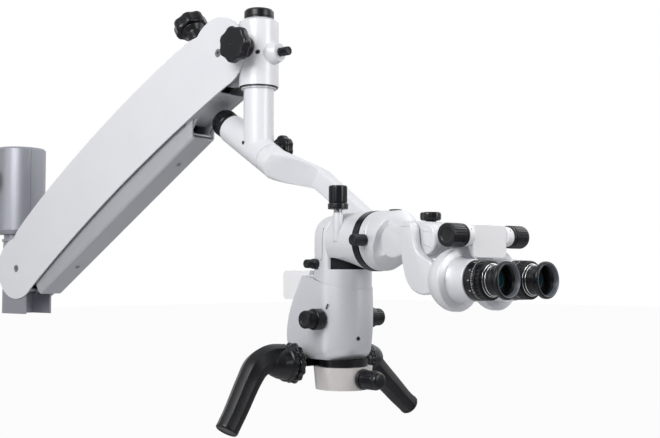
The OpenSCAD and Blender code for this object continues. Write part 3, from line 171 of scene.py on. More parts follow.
# Grey band on the inner bevel of the black eyecups' rim: a painted highlight, satin. Its grain is drawn at
# 0.4 mm
rim_painted_highlight = finish("painted_rim_highlight_grey", "#6A6F77", "#5F646C", 0.3, 0.38, 0.4, 0.003, patch_mm=10)
# Bead-blasted anodised aluminium: warm satin silver. Its pits of about 0.1 mm are drawn at 0.35 mm
satin_aluminium = finish("bead_blasted_aluminium", "#F0ECEA", "#E8E4E2", 0.36, 0.42, 0.35, 0.006, patch_mm=25,
                         Metallic=0.5)
# Turned steel: bright, its fine tool marks of about 0.1 mm drawn at 0.3 mm
turned_steel = finish("turned_steel", "#A9ABB0", "#9C9EA3", 0.24, 0.34, 0.3, 0.004, patch_mm=12, Metallic=1.0)
# Polished chrome ring: a thin bright line
chrome = finish("polished_chrome", "#E2E3E6", "#DADBDF", 0.06, 0.1, 0.4, 0.001, patch_mm=10, Metallic=1.0)
# Sintered bronze of the bushes: dull yellow brown, its fine pores drawn at 0.3 mm
bearing_bronze = finish("sintered_bronze", "#9B7C46", "#8A6C3A", 0.4, 0.55, 0.3, 0.01, patch_mm=10,
                        Metallic=1.0)
# Filled white print of marks and dial numbers: matt and slightly raised
white_print = finish("white_filled_print", "#D8DADC", "#CCCED1", 0.5, 0.6, 0.2, 0.002, patch_mm=4)
# Dark grey print of index marks on the white housings
grey_print = finish("dark_grey_print", "#3A3B40", "#323338", 0.5, 0.6, 0.2, 0.002, patch_mm=4)
# Matt dark grey for the thin seam line and the two small dots on the collars, and painted shade on a cylinder
# put in the shadowed gap under the drum: it gives back almost no light
seam_dark_and_painted_shade = finish("dark_seams_and_painted_shade", "#26272A", "#1E1F22", 0.7, 0.8, 0.4, 0.01, patch_mm=8,
                  Specular_IOR_Level=0.1)
# Coated optical glass: a dark pupil with a blue green cast from the coating
coated_glass = finish("coated_lens_glass", "#0D252D", "#153C48", 0.04, 0.08, 1.5, 0.0005, patch_mm=9,
                      IOR=1.6, Coat_Weight=1.0, Coat_Tint=linear("#9FE0D8"))


def paint(material, *names):
    """Gives CAD pieces a finish through their own slots."""
    for name in names:
        held_piece = nodes[name]
        if not held_piece.material_slots:
            held_piece.data.materials.append(material)
        for held in held_piece.material_slots:
            held.link = "OBJECT"
            held.material = material


def soften(width_mm, *names):
    """A small rounding on the edges of CAD pieces whose shape is right."""
    for name in names:
        rounding = nodes[name].modifiers.new("edge_rounding", "BEVEL")
        rounding.width = width_mm * MM
        rounding.segments = 3
        rounding.limit_method = "ANGLE"
        rounding.angle_limit = math.radians(32)
        rounding.harden_normals = True


# ------------------------------------------------ shapes
# A shape is a pair: its points in millimetres and its faces. A turned piece without a bore starts and
# ends this near its axis
AXIS_R = 0.01


def skin(rings, ends=True):
    """Joins closed rings of equally many points; ends closes the first and the last one."""
    count = len(rings[0])
    points = [tuple(p) for ring in rings for p in ring]
    faces = []
    for k in range(len(rings) - 1):
        for i in range(count):
            j = (i + 1) % count
            faces.append((k * count + i, k * count + j, (k + 1) * count + j, (k + 1) * count + i))
    if ends:
        faces.append(tuple(reversed(range(count))))
        faces.append(tuple(range((len(rings) - 1) * count, len(rings) * count)))
    return points, faces


def rounded(corners, radius, steps=4):
    """The corners of a profile, each inner one softened by a short curve."""
    line = [Vector(c) for c in corners]
    out = [line[0]]
    for before, corner, after in zip(line, line[1:], line[2:]):
        back = before - corner
        on = after - corner
        reach = min(radius, back.length / 2, on.length / 2)
        start = corner + back.normalized() * reach
        stop = corner + on.normalized() * reach
        for i in range(steps + 1):
            t = i / steps
            out.append(start * (1 - t) ** 2 + corner * 2 * t * (1 - t) + stop * t * t)
    out.append(line[-1])
    return out


def lathe(profile, turns=64, wave=None, softness=0.8):
    """Turns a profile of (radius, height) points; wave changes the radius round the turn."""
    rings = []
    for r, z in rounded(profile, softness):
        ring = []
        for i in range(turns):
            a = 2 * math.pi * i / turns
            k = wave(a, r, z) if wave else 1.0
            ring.append((r * k * math.cos(a), r * k * math.sin(a), z))
        rings.append(ring)
    return skin(rings, ends=profile[0] != profile[-1])


def solid(outline, **more):
    """A turned piece without a bore: its outline from foot to top, closed at the axis."""
    return lathe([(AXIS_R, outline[0][1])] + outline + [(AXIS_R, outline[-1][1])], **more)


def bored(inner, outline, **more):
    """A turned piece with a bore of radius inner: its outline from foot to top, closed along the bore."""
    foot = (inner, outline[0][1])
    return lathe([foot] + outline + [(inner, outline[-1][1]), foot], **more)


def moved(shape, place):
    return [tuple(place @ Vector(p)) for p in shape[0]], shape[1]


def mirrored(shape):
    return [(x, -y, z) for x, y, z in shape[0]], shape[1]


def block_turn(a, square):
    """The two shares of a closed section at one angle: a circle at square 2, nearly a rectangle at 8."""
    c = math.cos(a)
    s = math.sin(a)
    return math.copysign(abs(c) ** (2 / square), c), math.copysign(abs(s) ** (2 / square), s)


def rounded_section(centre, side, up, half_w, half_h, square, count):
    """A closed section between an ellipse (square 2) and a rounded block (square 6 or more)."""
    ring = []
    for i in range(count):
        u, v = block_turn(2 * math.pi * i / count, square)
        ring.append(Vector(centre) + Vector(side) * (half_w * u) + Vector(up) * (half_h * v))
    return ring


def smooth_path(points, steps):
    """A smooth line through the points."""
    p = [Vector(q) for q in points]
    p = [p[0] * 2 - p[1]] + p + [p[-1] * 2 - p[-2]]
    out = []
    for a, b, c, d in zip(p, p[1:], p[2:], p[3:]):
        for i in range(steps):
            t = i / steps
            bend = (2 * a - 5 * b + 4 * c - d) * t * t + (3 * b - a - 3 * c + d) * t ** 3
            out.append(0.5 * ((2 * b) + (c - a) * t + bend))
    out.append(p[-2])
    return out


def at_place(table, x):
    """The value of a table of (place, value) rows at a place, on straight lines between its rows."""
    for (x0, y0), (x1, y1) in zip(table, table[1:]):
        if x <= x1:
            t = max(0.0, (x - x0) / (x1 - x0))
            return y0 + (y1 - y0) * t
    return table[-1][1]


def softly_at(table, x, reach):
    """The table's value, averaged over a short reach so that its corners are soft."""
    steps = 7
    return sum(at_place(table, x + reach * (2 * i / (steps - 1) - 1)) for i in range(steps)) / steps


def faceted(a, sides, share):
    """The change of radius that turns a circle towards a shape with flat sides."""
    step = 2 * math.pi / sides
    return 1 + share * (math.cos(step / 2) / math.cos(a % step - step / 2) - 1)


def swept(path, radius_at, count, sides=0):
    """A round bar along a path, its radius given by the share of the way; sides gives it soft flat faces."""
    rings = []
    normal = Vector((0, 0, 1))
    for k, point in enumerate(path):
        ahead = (path[min(k + 1, len(path) - 1)] - path[max(k - 1, 0)]).normalized()
        normal = (normal - ahead * normal.dot(ahead)).normalized()
        across = ahead.cross(normal)
        r = radius_at(k / (len(path) - 1))
        ring = []
        for i in range(count):
            a = 2 * math.pi * i / count
            flat = faceted(a, sides, 0.75) if sides else 1
            ring.append(point + (normal * math.cos(a) + across * math.sin(a)) * r * flat)
        rings.append(ring)
    return skin(rings)


def slab(corners, low, high, edge, radius):
    """A plate with rounded rims: its outline as (x, z) corners, its faces at y = low and y = high."""
    start = tuple((a + b) / 2 for a, b in zip(corners[0], corners[-1]))
    line = rounded([start] + list(corners) + [start], radius, 5)[:-1]
    area = sum(a.x * b.y - b.x * a.y for a, b in zip(line, line[1:] + line[:1]))
    inward = []
    for before, after in zip(line[-1:] + line[:-1], line[1:] + line[:1]):
        way = (after - before).normalized() * math.copysign(1, area)
        inward.append(Vector((-way.y, way.x)))
    rings = []
    for face, step in ((low, 1), (high, -1)):
        rim = []
        for k in range(6):
            a = math.pi / 2 * k / 5
            inset = edge * (1 - math.sin(a))
            y = face + step * edge * (1 - math.cos(a))
            rim.append([(p.x + n.x * inset, y, p.y + n.y * inset) for p, n in zip(line, inward)])
        rings += rim if step > 0 else rim[::-1]
    return skin(rings)


def piece(name, body, parts, replaced, place=None):
    """One mesh object from shapes and their finishes, riding on a body; edges above 34 degrees stay sharp."""
    mesh = bpy.data.meshes.new(name)
    points, faces, marks = [], [], []
    for k, (shape, material) in enumerate(parts):
        base = len(points)
        points += [(place @ Vector(p) if place else Vector(p)) * MM for p in shape[0]]
        faces += [tuple(i + base for i in f) for f in shape[1]]
        marks += [k] * len(shape[1])
        mesh.materials.append(material)
    mesh.from_pydata(points, [], faces)
    mesh.polygons.foreach_set("material_index", marks)
    work = bmesh.new()
    work.from_mesh(mesh)
    bmesh.ops.remove_doubles(work, verts=work.verts, dist=1e-7)
    bmesh.ops.recalc_face_normals(work, faces=work.faces)
    work.to_mesh(mesh)
    work.free()
    mesh.shade_smooth()
    mesh.set_sharp_from_angle(angle=math.radians(34))
    thing = bpy.data.objects.new(name, mesh)
    bpy.context.scene.collection.objects.link(thing)
    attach(thing, body)
    if replaced:
        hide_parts(*replaced)


# ------------------------------------------------ knobs
# Feet of the knobs, each in the frame of the piece that carries it
COLUMN_CLAMP_FOOT = (0, -41.8, -58)
BALANCE_FOOT = (508, 0, 0)
HEAD_BRAKE_FOOT = (4.5, -29, 0)
HEAD_STOP_FOOT = (38.55, 0, -6)
REAR_CLAMP_FOOT = (-70.3, 0, 0)
SWING_LOCK_FOOT = (5, 21.3, 8)
FILTER_FOOT = (-17, -27.3, 13.5)
TILT_LOCK_FOOT = (26, -31, 78.3)
FOCUS_FOOT = (34.8, 0, -124.5)
TUBE_LOCK_FOOT = (76, -35.6, TUBE_LEVEL)
FOLD_LOCK_FOOT = (148, 0, 58.3)
# How far out on their shafts the magnification and the interpupillary grips begin
CHANGER_OUT = 37.3
SPREAD_OUT = 36.8


def lobes(count, rim_r, foot, scallop=0.85, sink=0.885):
    """Wide lobes with round scallops between them: full at the rim, gone in the middle and below the foot."""
    r = rim_r * scallop
    away = rim_r + r * sink

    def edge(a):
        turn = math.pi / count
        b = turn - abs((a + turn) % (2 * turn) - turn)
        side = r * r - (away * math.sin(b)) ** 2
        return min(rim_r, away * math.cos(b) - math.sqrt(side)) if side > 0 else rim_r

    def wave(a, height_r, z):
        if z < foot:
            return 1.0
        soft = sum(edge(a + math.radians(d)) for d in (-4, -2, 0, 2, 4)) / (5 * rim_r)
        share = min(1.0, max(0.0, (height_r / rim_r - 0.3) / 0.5))
        return 1.0 - (1.0 - soft) * share
    return wave


def ribs(count, depth, low, high):
    """Fine straight ribs over one stretch of the height."""
    def wave(a, r, z):
        if z < low or z > high:
            return 1.0
        return 1.0 - depth if math.cos(count * a) < -0.1 else 1.0
    return wave


def star_grip(r, h, neck_r, neck_h, count):
    """A lobed grip with a flat face and a small dimple in its middle."""
    top = neck_h + h
    outline = [(neck_r, 0), (neck_r, neck_h - 0.5), (r * 0.7, neck_h), (r - 1.5, neck_h),
               (r, neck_h + h * 0.2), (r, neck_h + h * 0.72), (r * 0.96, neck_h + h * 0.9),
               (r * 0.88, neck_h + h * 0.97), (r * 0.5, top), (r * 0.06, top), (r * 0.04, top - 0.8)]
    return solid(outline, turns=count * 26, wave=lobes(count, r, neck_h - 0.1), softness=1.4)


def ribbed_grip(base_r, base_h, r, h, count, depth=0.06):
    """A plain collar with a ribbed grip and a smooth face."""
    top = base_h + h
    outline = [(base_r - 0.4, 0), (base_r, 0.5), (base_r, base_h - 0.8), (base_r - 0.9, base_h),
               (r * 0.93, base_h + 0.1), (r, base_h + 1.2), (r, top - 1.8), (r * 0.94, top), (r * 0.6, top),
               (r * 0.55, top - 0.6)]
    return solid(outline, turns=count * 8, wave=ribs(count, depth, base_h + 1.0, top - 1.0), softness=0.5)


def shaft(r, start, stop):
    return solid([(r, start), (r, stop)], turns=24, softness=0.2)


def knob(name, body, node, place, mouldings, stem):
    """A hand knob in the place of its node: its black mouldings and its steel stem (radius, start, end)."""
    parts = [(moved(shape, place), black_nylon) for shape in mouldings]
    parts.append((moved(shaft(*stem), place), turned_steel))
    piece(name, body, parts, [node])


def column_and_arm_knobs():
    knob("column_clamp_star", "column_clamp", "column_clamp_knob", shifted(*COLUMN_CLAMP_FOOT) @ TO_NEAR,
         [star_grip(18, 14, 9, 6, 7)], (4, -20, 4))
    star = moved(star_grip(25, 19, 15, 2, 7), shifted(0, 0, 82))
    flare = solid([(12, 63), (13, 65), (13, 76), (19, 84)], turns=56, softness=2)
    knob("balance_star", "balance_knob", "balance_knob", LINK @ shifted(*BALANCE_FOOT),
         [star, flare], (9, 32, 66))
    collar = solid([(13.5, 0), (14, 1), (14, 4), (12.4, 5.5), (11.5, 17)], softness=1)
    knob("head_brake_star", "head_brake", "head_brake_knob", HEAD @ shifted(*HEAD_BRAKE_FOOT) @ TO_NEAR,
         [star_grip(25, 14, 10, 17, 7), collar], (3.5, -13, 3))
    knob("head_stop_grip", "head_stop", "head_stop_knob", HEAD @ shifted(*HEAD_STOP_FOOT) @ TO_FRONT,
         [ribbed_grip(6, 3, 6, 13, 14)], (4, -22.5, 3))
    cap = bored(12.4, [(18, 0), (19.2, 1.2), (19.2, 5), (18.2, 6), (18.2, 8), (19.6, 9.5), (20, 22),
                       (18.5, 27), (15, 28), (8, 28), (7.4, 26.8), (AXIS_R, 26.8), (AXIS_R, 14)],
                turns=160, wave=ribs(20, 0.05, 9.6, 26.5))
    place = SWING @ shifted(*REAR_CLAMP_FOOT) @ TO_BACK
    piece("rear_clamp_grip", "rear_clamp", [(moved(cap, place), black_nylon)],
          ["rear_clamp_cap"])
    knob("swing_lock_star", "swing_lock", "swing_lock_knob", SWING @ shifted(*SWING_LOCK_FOOT) @ TO_FAR,
         [star_grip(18, 13, 7, 8, 6)], (3.5, -8.6, 8))


def microscope_knobs():
    changer = SCOPE @ shifted(0, 0, CHANGER_LEVEL)
    drum = solid([(24, -20), (24, 20)], softness=0.6)
    parts = [(moved(drum, changer @ TO_FAR), black_anodised),
             (moved(shaft(5, -37.5, 37.5), changer @ TO_FAR), turned_steel)]
    for side, turn in BOTH_SIDES:
        grip = ribbed_grip(12.8, 12, 10.8, 13, 22)
        parts.append((moved(grip, changer @ shifted(0, side * CHANGER_OUT, 0) @ turn), black_nylon))
    piece("magnification_grips", "magnification", parts, ["magnification_changer"])
    knob("filter_grip", "filter", "filter_knob", SCOPE @ shifted(*FILTER_FOOT) @ TO_NEAR,
         [ribbed_grip(6.3, 8, 5.4, 10, 12)], (2.5, -3, 4))
    knob("tilt_grip", "tilt_lock", "tilt_knob", SCOPE @ shifted(*TILT_LOCK_FOOT),
         [ribbed_grip(12.2, 7, 11.1, 21, 20, 0.07)], (2.5, -9, 3))
    tip = solid([(10.4, 25), (10.4, 27.4), (9, 31), (4, 32)], softness=2.5)
    knob("focus_grip", "focus", "focus_knob", SCOPE @ shifted(*FOCUS_FOOT) @ TO_FRONT,
         [ribbed_grip(12.3, 5, 11.4, 21, 20), tip], (2.5, -7.5, 3))
    knob("tube_lock_grip", "tube_lock", "tube_lock_knob", SCOPE @ shifted(*TUBE_LOCK_FOOT) @ TO_NEAR,
         [ribbed_grip(7, 4, 6.8, 14, 14)], (2.5, -14, 3))
    knob("fold_lock_star", "fold_lock", "fold_knob", SCOPE @ shifted(*FOLD_LOCK_FOOT),
         [star_grip(12, 9.5, 6, 2.5, 5)], (2.5, -10, 3))
    spread = SCOPE @ shifted(*SPREAD_AXIS)
    parts = [(moved(shaft(3, -49, 49), spread @ TO_FAR), turned_steel)]
    for side, turn in BOTH_SIDES:
        grip = ribbed_grip(12.3, 3, 12.5, 21, 24, 0.05)
        parts.append((moved(grip, spread @ shifted(0, side * SPREAD_OUT, 0) @ turn), black_nylon))
    piece("interpupillary_grips", "ipd", parts, ["ipd_knobs"])


# ------------------------------------------------ head and hanger
def head_details():
    """The sheet that closes the arm's underside near the head, the dark ring above the hanger,
    a black disc of painted shade over the hole in the inclined tube and the head's cap."""
    sheet = slab([(441, -41.0), (441, -39.4), (519, -44.6), (519, -46.2)], -25.2, 25.2, 0.3, 0.3)
    piece("arm_end_sheet", "arm", [(moved(sheet, LINK), tray_paint)], ())
    ring = bored(20.8, [(26.2, -51.3), (26.2, -49.9)], turns=96, softness=0.1)
    piece("hanger_seal_ring", "hanger", [(moved(ring, HANGER), black_nylon)], ())
    # A thin black disc over the small hole in the inclined tube: painted shade of the bore
    plug = lathe([(AXIS_R, 0), (2.6, 0), (2.7, 0.3), (2.3, 0.5), (AXIS_R, 0.4)], turns=32, softness=0.1)
    piece("incline_hole_shade", "hanger", [(moved(plug, SWING @ shifted(-11, -20.7, 4) @ TO_NEAR), black_nylon)],
          ())
    cap = bored(15.1, [(20.5, 43.4), (20.5, 45.4), (20.1, 45.8), (20.1, 46.4), (20.5, 46.8), (20.5, 54.6),
                       (18.4, 57.2), (17.6, 57.4), (17.2, 57.0), (AXIS_R, 57.0), (AXIS_R, 53.4)],
                turns=96, softness=0.3)
    piece("head_cap_moulding", "head", [(moved(cap, HEAD), black_anodised)], ["head_cap"])


# ------------------------------------------------ handles
HANDLE_HUB = (-32, 0, -106.5)
# The middle line of each handle, with y measured outwards from the microscope's middle
LEFT_ROUTE = [(-36, 62, -99), (-37, 84, -100), (-37, 103, -108), (-36.5, 116, -125), (-33.5, 136, -157),
              (-32, 150, -178)]
RIGHT_ROUTE = [(-34, 62, -106), (-34, 76, -113), (-34, 94, -129), (-34.5, 112, -143), (-35, 133, -161),
               (-35, 150, -174)]
# Share of the way and the handle's radius there
HANDLE_GIRTH = [(0, 15.6), (0.2, 17), (0.4, 16.6), (0.6, 15), (0.85, 13.8), (1, 13.8)]


def handle_piece(side, route, name):
    """One handle with its ribbed bell and its closed end, and the star nut behind the bell."""
    path = smooth_path([(x, side * y, z) for x, y, z in route], 12)
    grip = swept(path, lambda t: softly_at(HANDLE_GIRTH, t, 0.04), 64, 8)
    ahead = (path[-1] - path[-2]).normalized()
    end = lathe([(13.5, -2.5), (13.5, -0.4), (12.6, 1.2), (12.0, 1.2), (11.6, 0.3), (AXIS_R, 0.1)],
                turns=40, softness=0.5)
    end_place = SCOPE @ Matrix.Translation(path[-1]) @ ahead.to_track_quat("Z", "Y").to_matrix().to_4x4()
    place = SCOPE @ shifted(*HANDLE_HUB) @ (TO_FAR if side > 0 else TO_NEAR)
    bell = lathe([(6.05, 58.7), (20.8, 58.7), (22, 59.8), (22, 65.6), (21, 66.8), (19.8, 67.4), (19.2, 70),
                  (17.4, 77), (13.8, 85), (9.5, 90), (6.05, 91), (6.05, 58.7)],
                 turns=144, wave=ribs(24, 0.035, 60.2, 65.4), softness=0.7)
    piece(name, name, [
        (moved(grip, SCOPE), black_grip),
        (moved(end, end_place), black_grip),
        (moved(bell, place), black_nylon)], [name])
    star = bored(6.05, [(20, 49.3), (23, 49.8), (25, 52), (25, 56), (23.4, 58.3)],
                 turns=14 * 18, wave=lobes(14, 25, 49, 0.2, 0.6), softness=1.2)
    nut = name.replace("handle", "handle_knob")
    piece(name.replace("handle", "handle_star"), nut, [(moved(star, place), black_nylon)],
          [nut])


# ------------------------------------------------ swing arm
# Stations of the bend between its two flat faces: distance along the incline, near face, middle,
# far face, half height
BEND_STATIONS = [
    (27.3, -20.4, 0, 20.4, 20.4), (28.0, -21, 0, 21, 21), (40, -21, 0, 21, 21), (47, -21, 0, 21, 21),
    (48.5, -19.4, 0.6, 21, 21), (53, -11, 4, 23, 20.8), (58, -1.5, 10, 28, 20.2), (64, 9.5, 18, 35, 19.2),
    (70, 20, 27, 43, 17.8), (76, 29.5, 36, 50.5, 16.4), (81, 35.6, 43, 55.4, 15.2),
    (85, 38.6, 47, 57.8, 14.2), (88, 39.6, 49, 58.6, 13.6)]
ROUND_UNTIL = 48
BEND_END = 88
BLADE_HALF_WIDTH = 9.5
BLADE_HALF_HEIGHT = 13.3


def swing_arm_piece():
    """The round socket, the bend out to the side, the flat blade and the hub on the tilt axis."""
    side = Vector((0, 1, 0))
    hub = Vector((SCOPE_REACH + TILT_AXIS_X, SWING_PLANE_Y, TUBE_LEVEL + LEVEL_LINE - HEAD_LEVEL + AXIS_DROP))
    along = Vector((math.cos(SWING_SLOPE), 0, -math.sin(SWING_SLOPE)))
    lift = Vector((math.sin(SWING_SLOPE), 0, math.cos(SWING_SLOPE)))
    rings = []
    for t, near, middle, far, half in BEND_STATIONS:
        square = 2.2 if t > ROUND_UNTIL else 2.0
        ring = rounded_section(along * t + side * middle, side, lift, 21, half, square, 64)
        rings.append([(p.x, min(far, max(near, p.y)), p.z) for p in ring])
    start = along * BEND_END + side * SWING_PLANE_Y
    run = (hub - start).normalized()
    rise = Vector((-run.z, 0, run.x)).normalized()
    for share in (0.12, 0.5, 0.9, 1.0):
        rings.append(rounded_section(start.lerp(hub, share), side, rise,
                                     BLADE_HALF_WIDTH, BLADE_HALF_HEIGHT, 6.0, 64))
    eye = bored(9.05, [(19.6, -9.75), (21, -8.4), (21, 8.4), (19.6, 9.75)], softness=1.0)
    piece("swing_arm_casting", "swing_arm", [
        (moved(skin(rings), INCLINE), arm_enamel),
        (moved(eye, INCLINE @ shifted(*hub) @ TO_FAR), arm_enamel)], ["swing_arm"])


# ------------------------------------------------ microscope body
# How far the body reaches back and forward at each level, and the level of its top seam at each x
BODY_REAR = [(-102, -28), (-101.5, -38), (-100, -50), (-95, -62), (-85.3, -69.8), (-67.4, -70.9),
             (-46.7, -66), (-23.7, -54.4), (-0.5, -39.4), (8, -35)]
BODY_FRONT = [(-102, 20), (-97, 28.8), (-81, 33.5), (-63, 36.4), (-39, 37), (-17, 36.2), (8, 36)]
BODY_SEAM = [(-74, 3), (-39.4, -0.5), (-14, -4.6), (13, -12.4), (25, -16), (38, -17.2)]
BODY_FOOT = -102
BODY_HALF_WIDTH = 37
BODY_SHARES = [0, 0.01, 0.03, 0.06, 0.1, 0.15, 0.2, 0.27, 0.34, 0.42, 0.5, 0.58, 0.66, 0.74, 0.82, 0.9,
               0.96, 1.0]


def body_ring(share, shrink):
    """One level of the body: round in front, nearly square behind, and cut along the seam at the top."""
    ring = []
    count = 96
    for i in range(count):
        a = 2 * math.pi * i / count
        u, v = block_turn(a, 2.0 if math.cos(a) > 0 else 11.0)
        z = BODY_FOOT + 100 * share
        # The reach depends on the level and the level on the reach, so both are found in a few rounds
        for _ in range(4):
            if u > 0:
                x = (softly_at(BODY_FRONT, z, 5) - shrink) * u
            else:
                x = -(softly_at(BODY_REAR, z, 5) + shrink) * u
            z = BODY_FOOT + (at_place(BODY_SEAM, x) - BODY_FOOT) * share
        # The sides draw in by 3 mm over the lowest 14 mm
        drawn_in = 3.0 * max(0.0, (-88 - z) / 14) ** 2
        ring.append((x, (BODY_HALF_WIDTH - shrink - drawn_in) * v, z))
    return ring


def body_pieces():
    """The body's shell with its index stroke, and the small screw and black plug in front."""
    rings = [body_ring(0, 8)]
    rings += [body_ring(share, max(0.0, 3.0 - share * 60)) for share in BODY_SHARES]
    rings.append(body_ring(1.0, 1.2))
    index = slab([(10.2, -40.6), (11.2, -41.0), (14.4, -34.6), (13.4, -34.2)], -37.25, -36, 0.1, 0.2)
    screw = solid([(2.2, -0.6), (2.2, 0.1), (1.8, 0.4), (1.1, 0.4), (1.0, -0.2)], turns=32, softness=0.15)
    plug = lathe([(AXIS_R, -0.2), (2.3, -0.2), (2.5, 0.15), (2.5, 0.3), (AXIS_R, 0.25)],
                 turns=32, softness=0.1)
    aside = SCOPE @ turned_by(math.radians(-10), "Z")
    piece("body_casting", "scope", [
        (moved(skin(rings), SCOPE), body_silver),
        (moved(index, SCOPE), grey_print),
        (moved(screw, aside @ shifted(36.2, 0, -30) @ TO_FRONT), turned_steel),
        (moved(plug, aside @ shifted(34.6, 0, -76) @ TO_FRONT), black_nylon)], ["body_shell"])


# ------------------------------------------------ drum and rear cover
def drum_pieces():
    """The drum with its slanted cut underneath and its stem, and the box-shaped rear cover behind it, with
    its dark seam line and a dark cylinder of painted shade in the gap under the drum.
    """
    barrel = solid([(34.6, 6.3), (TUBE_R, 7), (TUBE_R, 54.2), (34.6, 54.9)], turns=96, softness=0.4)
    laid = moved(barrel, ON_TUBE_AXIS)
    cut_level = 22
    cut_slope = 0.85
    cut = [(x, y, max(z, cut_level - (x - 6.3) * cut_slope)) for x, y, z in laid[0]]
    boss = bored(9.05, [(17, 24), (17, 38.6), (16.2, 39.4)], softness=0.6)
    stem = solid([(6.2, 40), (6.2, 73.5), (5.8, 74)], turns=32, softness=0.3)
    rings = solid([(5.2, 74), (5.2, 75.2), (4.7, 75.6), (5.2, 76), (5.2, 78)], turns=32, softness=0.15)
    under_knob = shifted(TILT_LOCK_FOOT[0], TILT_LOCK_FOOT[1], 0)
    piece("drum_casting", "scope", [
        ((cut, laid[1]), body_enamel),
        (moved(boss, shifted(TILT_AXIS_X, 0, TUBE_LEVEL) @ TO_FAR), body_enamel),
        (moved(stem, under_knob), body_enamel),
        (moved(rings, under_knob), turned_steel)], ["drum"], SCOPE)
    # The cover goes straight up to the tube's level and closes over in a round top
    levels = [6.6, 7.6, 24] + [TUBE_LEVEL + 33.4 * math.sin(math.pi / 2 * k / 13) for k in range(13)] + [73.3]
    front = 5.6
    fullness = 2.7
    sections = []
    for z in levels:
        share = max(0.0, (z - TUBE_LEVEL) / 33.5)
        shrink = (1 - share ** fullness) ** (1 / fullness)
        rear = -26 * shrink
        half_w = 28.6 * shrink
        centre = ((rear + front) / 2, 0, z)
        sections.append(rounded_section(centre, (1, 0, 0), (0, 1, 0), (front - rear) / 2, half_w, 5.0, 72))
    seam = [(-5, -27.0, 57), (-5.6, -28.4, 45), (-6, -28.5, 24), (-7, -28.5, 19), (-10, -28.4, 17.6),
            (-18, -28.2, 17.4)]
    # A dark cylinder inside the gap between the drum and the body's collar: painted shade, not a part of the
    # microscope
    painted_shade_cylinder = solid([(24, 3), (24, 30)], softness=0.5)
    piece("rear_cover_casting", "scope", [
        (skin(sections), body_enamel),
        (swept(smooth_path(seam, 6), lambda t: 0.3, 8), seam_dark_and_painted_shade),
        (moved(painted_shade_cylinder, shifted(7.5, 0, 0)), seam_dark_and_painted_shade)], ["neck_cover"], SCOPE)


# ------------------------------------------------ binocular tube
# Side outlines as (x, z): the folding link's eye and barrel, and the S-shaped cheek of the eyepiece carrier
LINK_SIDE = [(101.5, 38), (103, 47), (108.5, 54), (117, 57.6), (130, 56), (143, 58.9), (158, 58.9), (174, 57),
             (183, 51), (186, 42), (185.6, 31), (180, 23), (170, 19.2), (159, 21), (148, 24), (134, 22),
             (125, 18.6), (115, 18.6), (107, 23.5), (102.5, 30)]
BARREL_FROM = 141
CHEEK_SIDE = [(143.4, 52), (146, 56.2), (153, 57.6), (161, 56.6), (164.6, 51), (165.4, 43), (166.2, 35),
              (169, 27), (175, 21.5), (183, 17.5), (192.5, 13.6), (192.5, -19.5), (176, -21.8), (163, -17.5),
              (155, -9), (150.4, 1), (147.3, 12), (145.4, 24), (143.2, 38)]
# Sections of the nose between flange and hinge: place along, forward lean, bottom, top, half width.
# The round flange ends at a leaning wall, and the narrower nose goes on from there to the hinge
NOSE = [(77.6, 0, 4.8, 75.2, 34.9), (85, 0.2, 5.0, 75.2, 34.9), (92.4, 0.41, 5.6, 74.8, 34.3),
        (92.9, 0.41, 6.6, 74.5, 33.2), (93.2, 0.41, 7.6, 74.2, 30.8), (94.2, 0.41, 9.5, 73.4, 27.4),
        (96, 0.38, 12, 72, 24), (99, 0.3, 14.6, 69.6, 22), (104, 0.2, 17.4, 65.8, 21.2),
        (110, 0.1, 19, 61.8, 21), (117, 0, 20, 58.4, 21)]
NOSE_ROUND = 35.2
# How much less the wall leans forward towards its top
LEAN_BEND = 0.011
# Sections of the upper block from back to front: place along, height of centre, half width, half height
# and squareness
UPPER_BLOCK = [(188.4, 42, 24.2, 9.4, 7), (189.6, 42, 26.4, 10.8, 7), (198, 42, 26, 11, 8),
               (210, 42, 24.6, 11, 8), (219, 41.8, 24.4, 11.2, 8), (224, 40.4, 25.2, 12.6, 8),
               (227.4, 37.6, 26.8, 15.4, 8), (229.6, 35.6, 27.5, 17.3, 8), (232.2, 35.4, 27.5, 17.6, 8),
               (233, 35.4, 26.8, 16.9, 8)]


def nose():
    """The tube's front: every section has a round top and bottom of the flange's radius and flat sides."""
    rings = []
    for x, lean, low, high, half in NOSE:
        first = math.acos(half / NOSE_ROUND)
        drop = NOSE_ROUND * (1 - math.sin(first))
        flat = high - low - 2 * drop
        arc = [first + (math.pi - 2 * first) * k / 28 for k in range(29)]
        over = [(NOSE_ROUND * math.cos(a), high - NOSE_ROUND + NOSE_ROUND * math.sin(a)) for a in arc]
        down = [(-half, high - drop - flat * k / 10) for k in range(1, 10)]
        under = [(-NOSE_ROUND * math.cos(a), low + NOSE_ROUND - NOSE_ROUND * math.sin(a)) for a in arc]
        back_up = [(half, low + drop + flat * k / 10) for k in range(1, 10)]
        ring = []
        for y, z in over + down + under + back_up:
            above = z - TUBE_LEVEL
            ring.append((x + lean * (above - LEAN_BEND * max(0, above) ** 2), y, z))
        rings.append(ring)
    return skin(rings)


def lock_arrow():
    """The printed arc beside the tube's locking knob, with its two end strokes."""
    points, faces = [], []
    steps = 26
    arc_r = 12.2
    squash = 0.44
    print_r = TUBE_R + 0.12
    for k in range(steps + 1):
        a = math.radians(-62 + 124 * k / steps)
        wide = 1.4 if k in (0, steps) else 0.22
        for reach in (arc_r - wide, arc_r + wide):
            turn = reach * math.sin(a) / TUBE_R
            points.append((72 + reach * math.cos(a) * squash, -print_r * math.cos(turn),
                           TUBE_LEVEL + print_r * math.sin(turn)))
        if k:
            faces.append((2 * k - 2, 2 * k - 1, 2 * k + 1, 2 * k))
    return points, faces


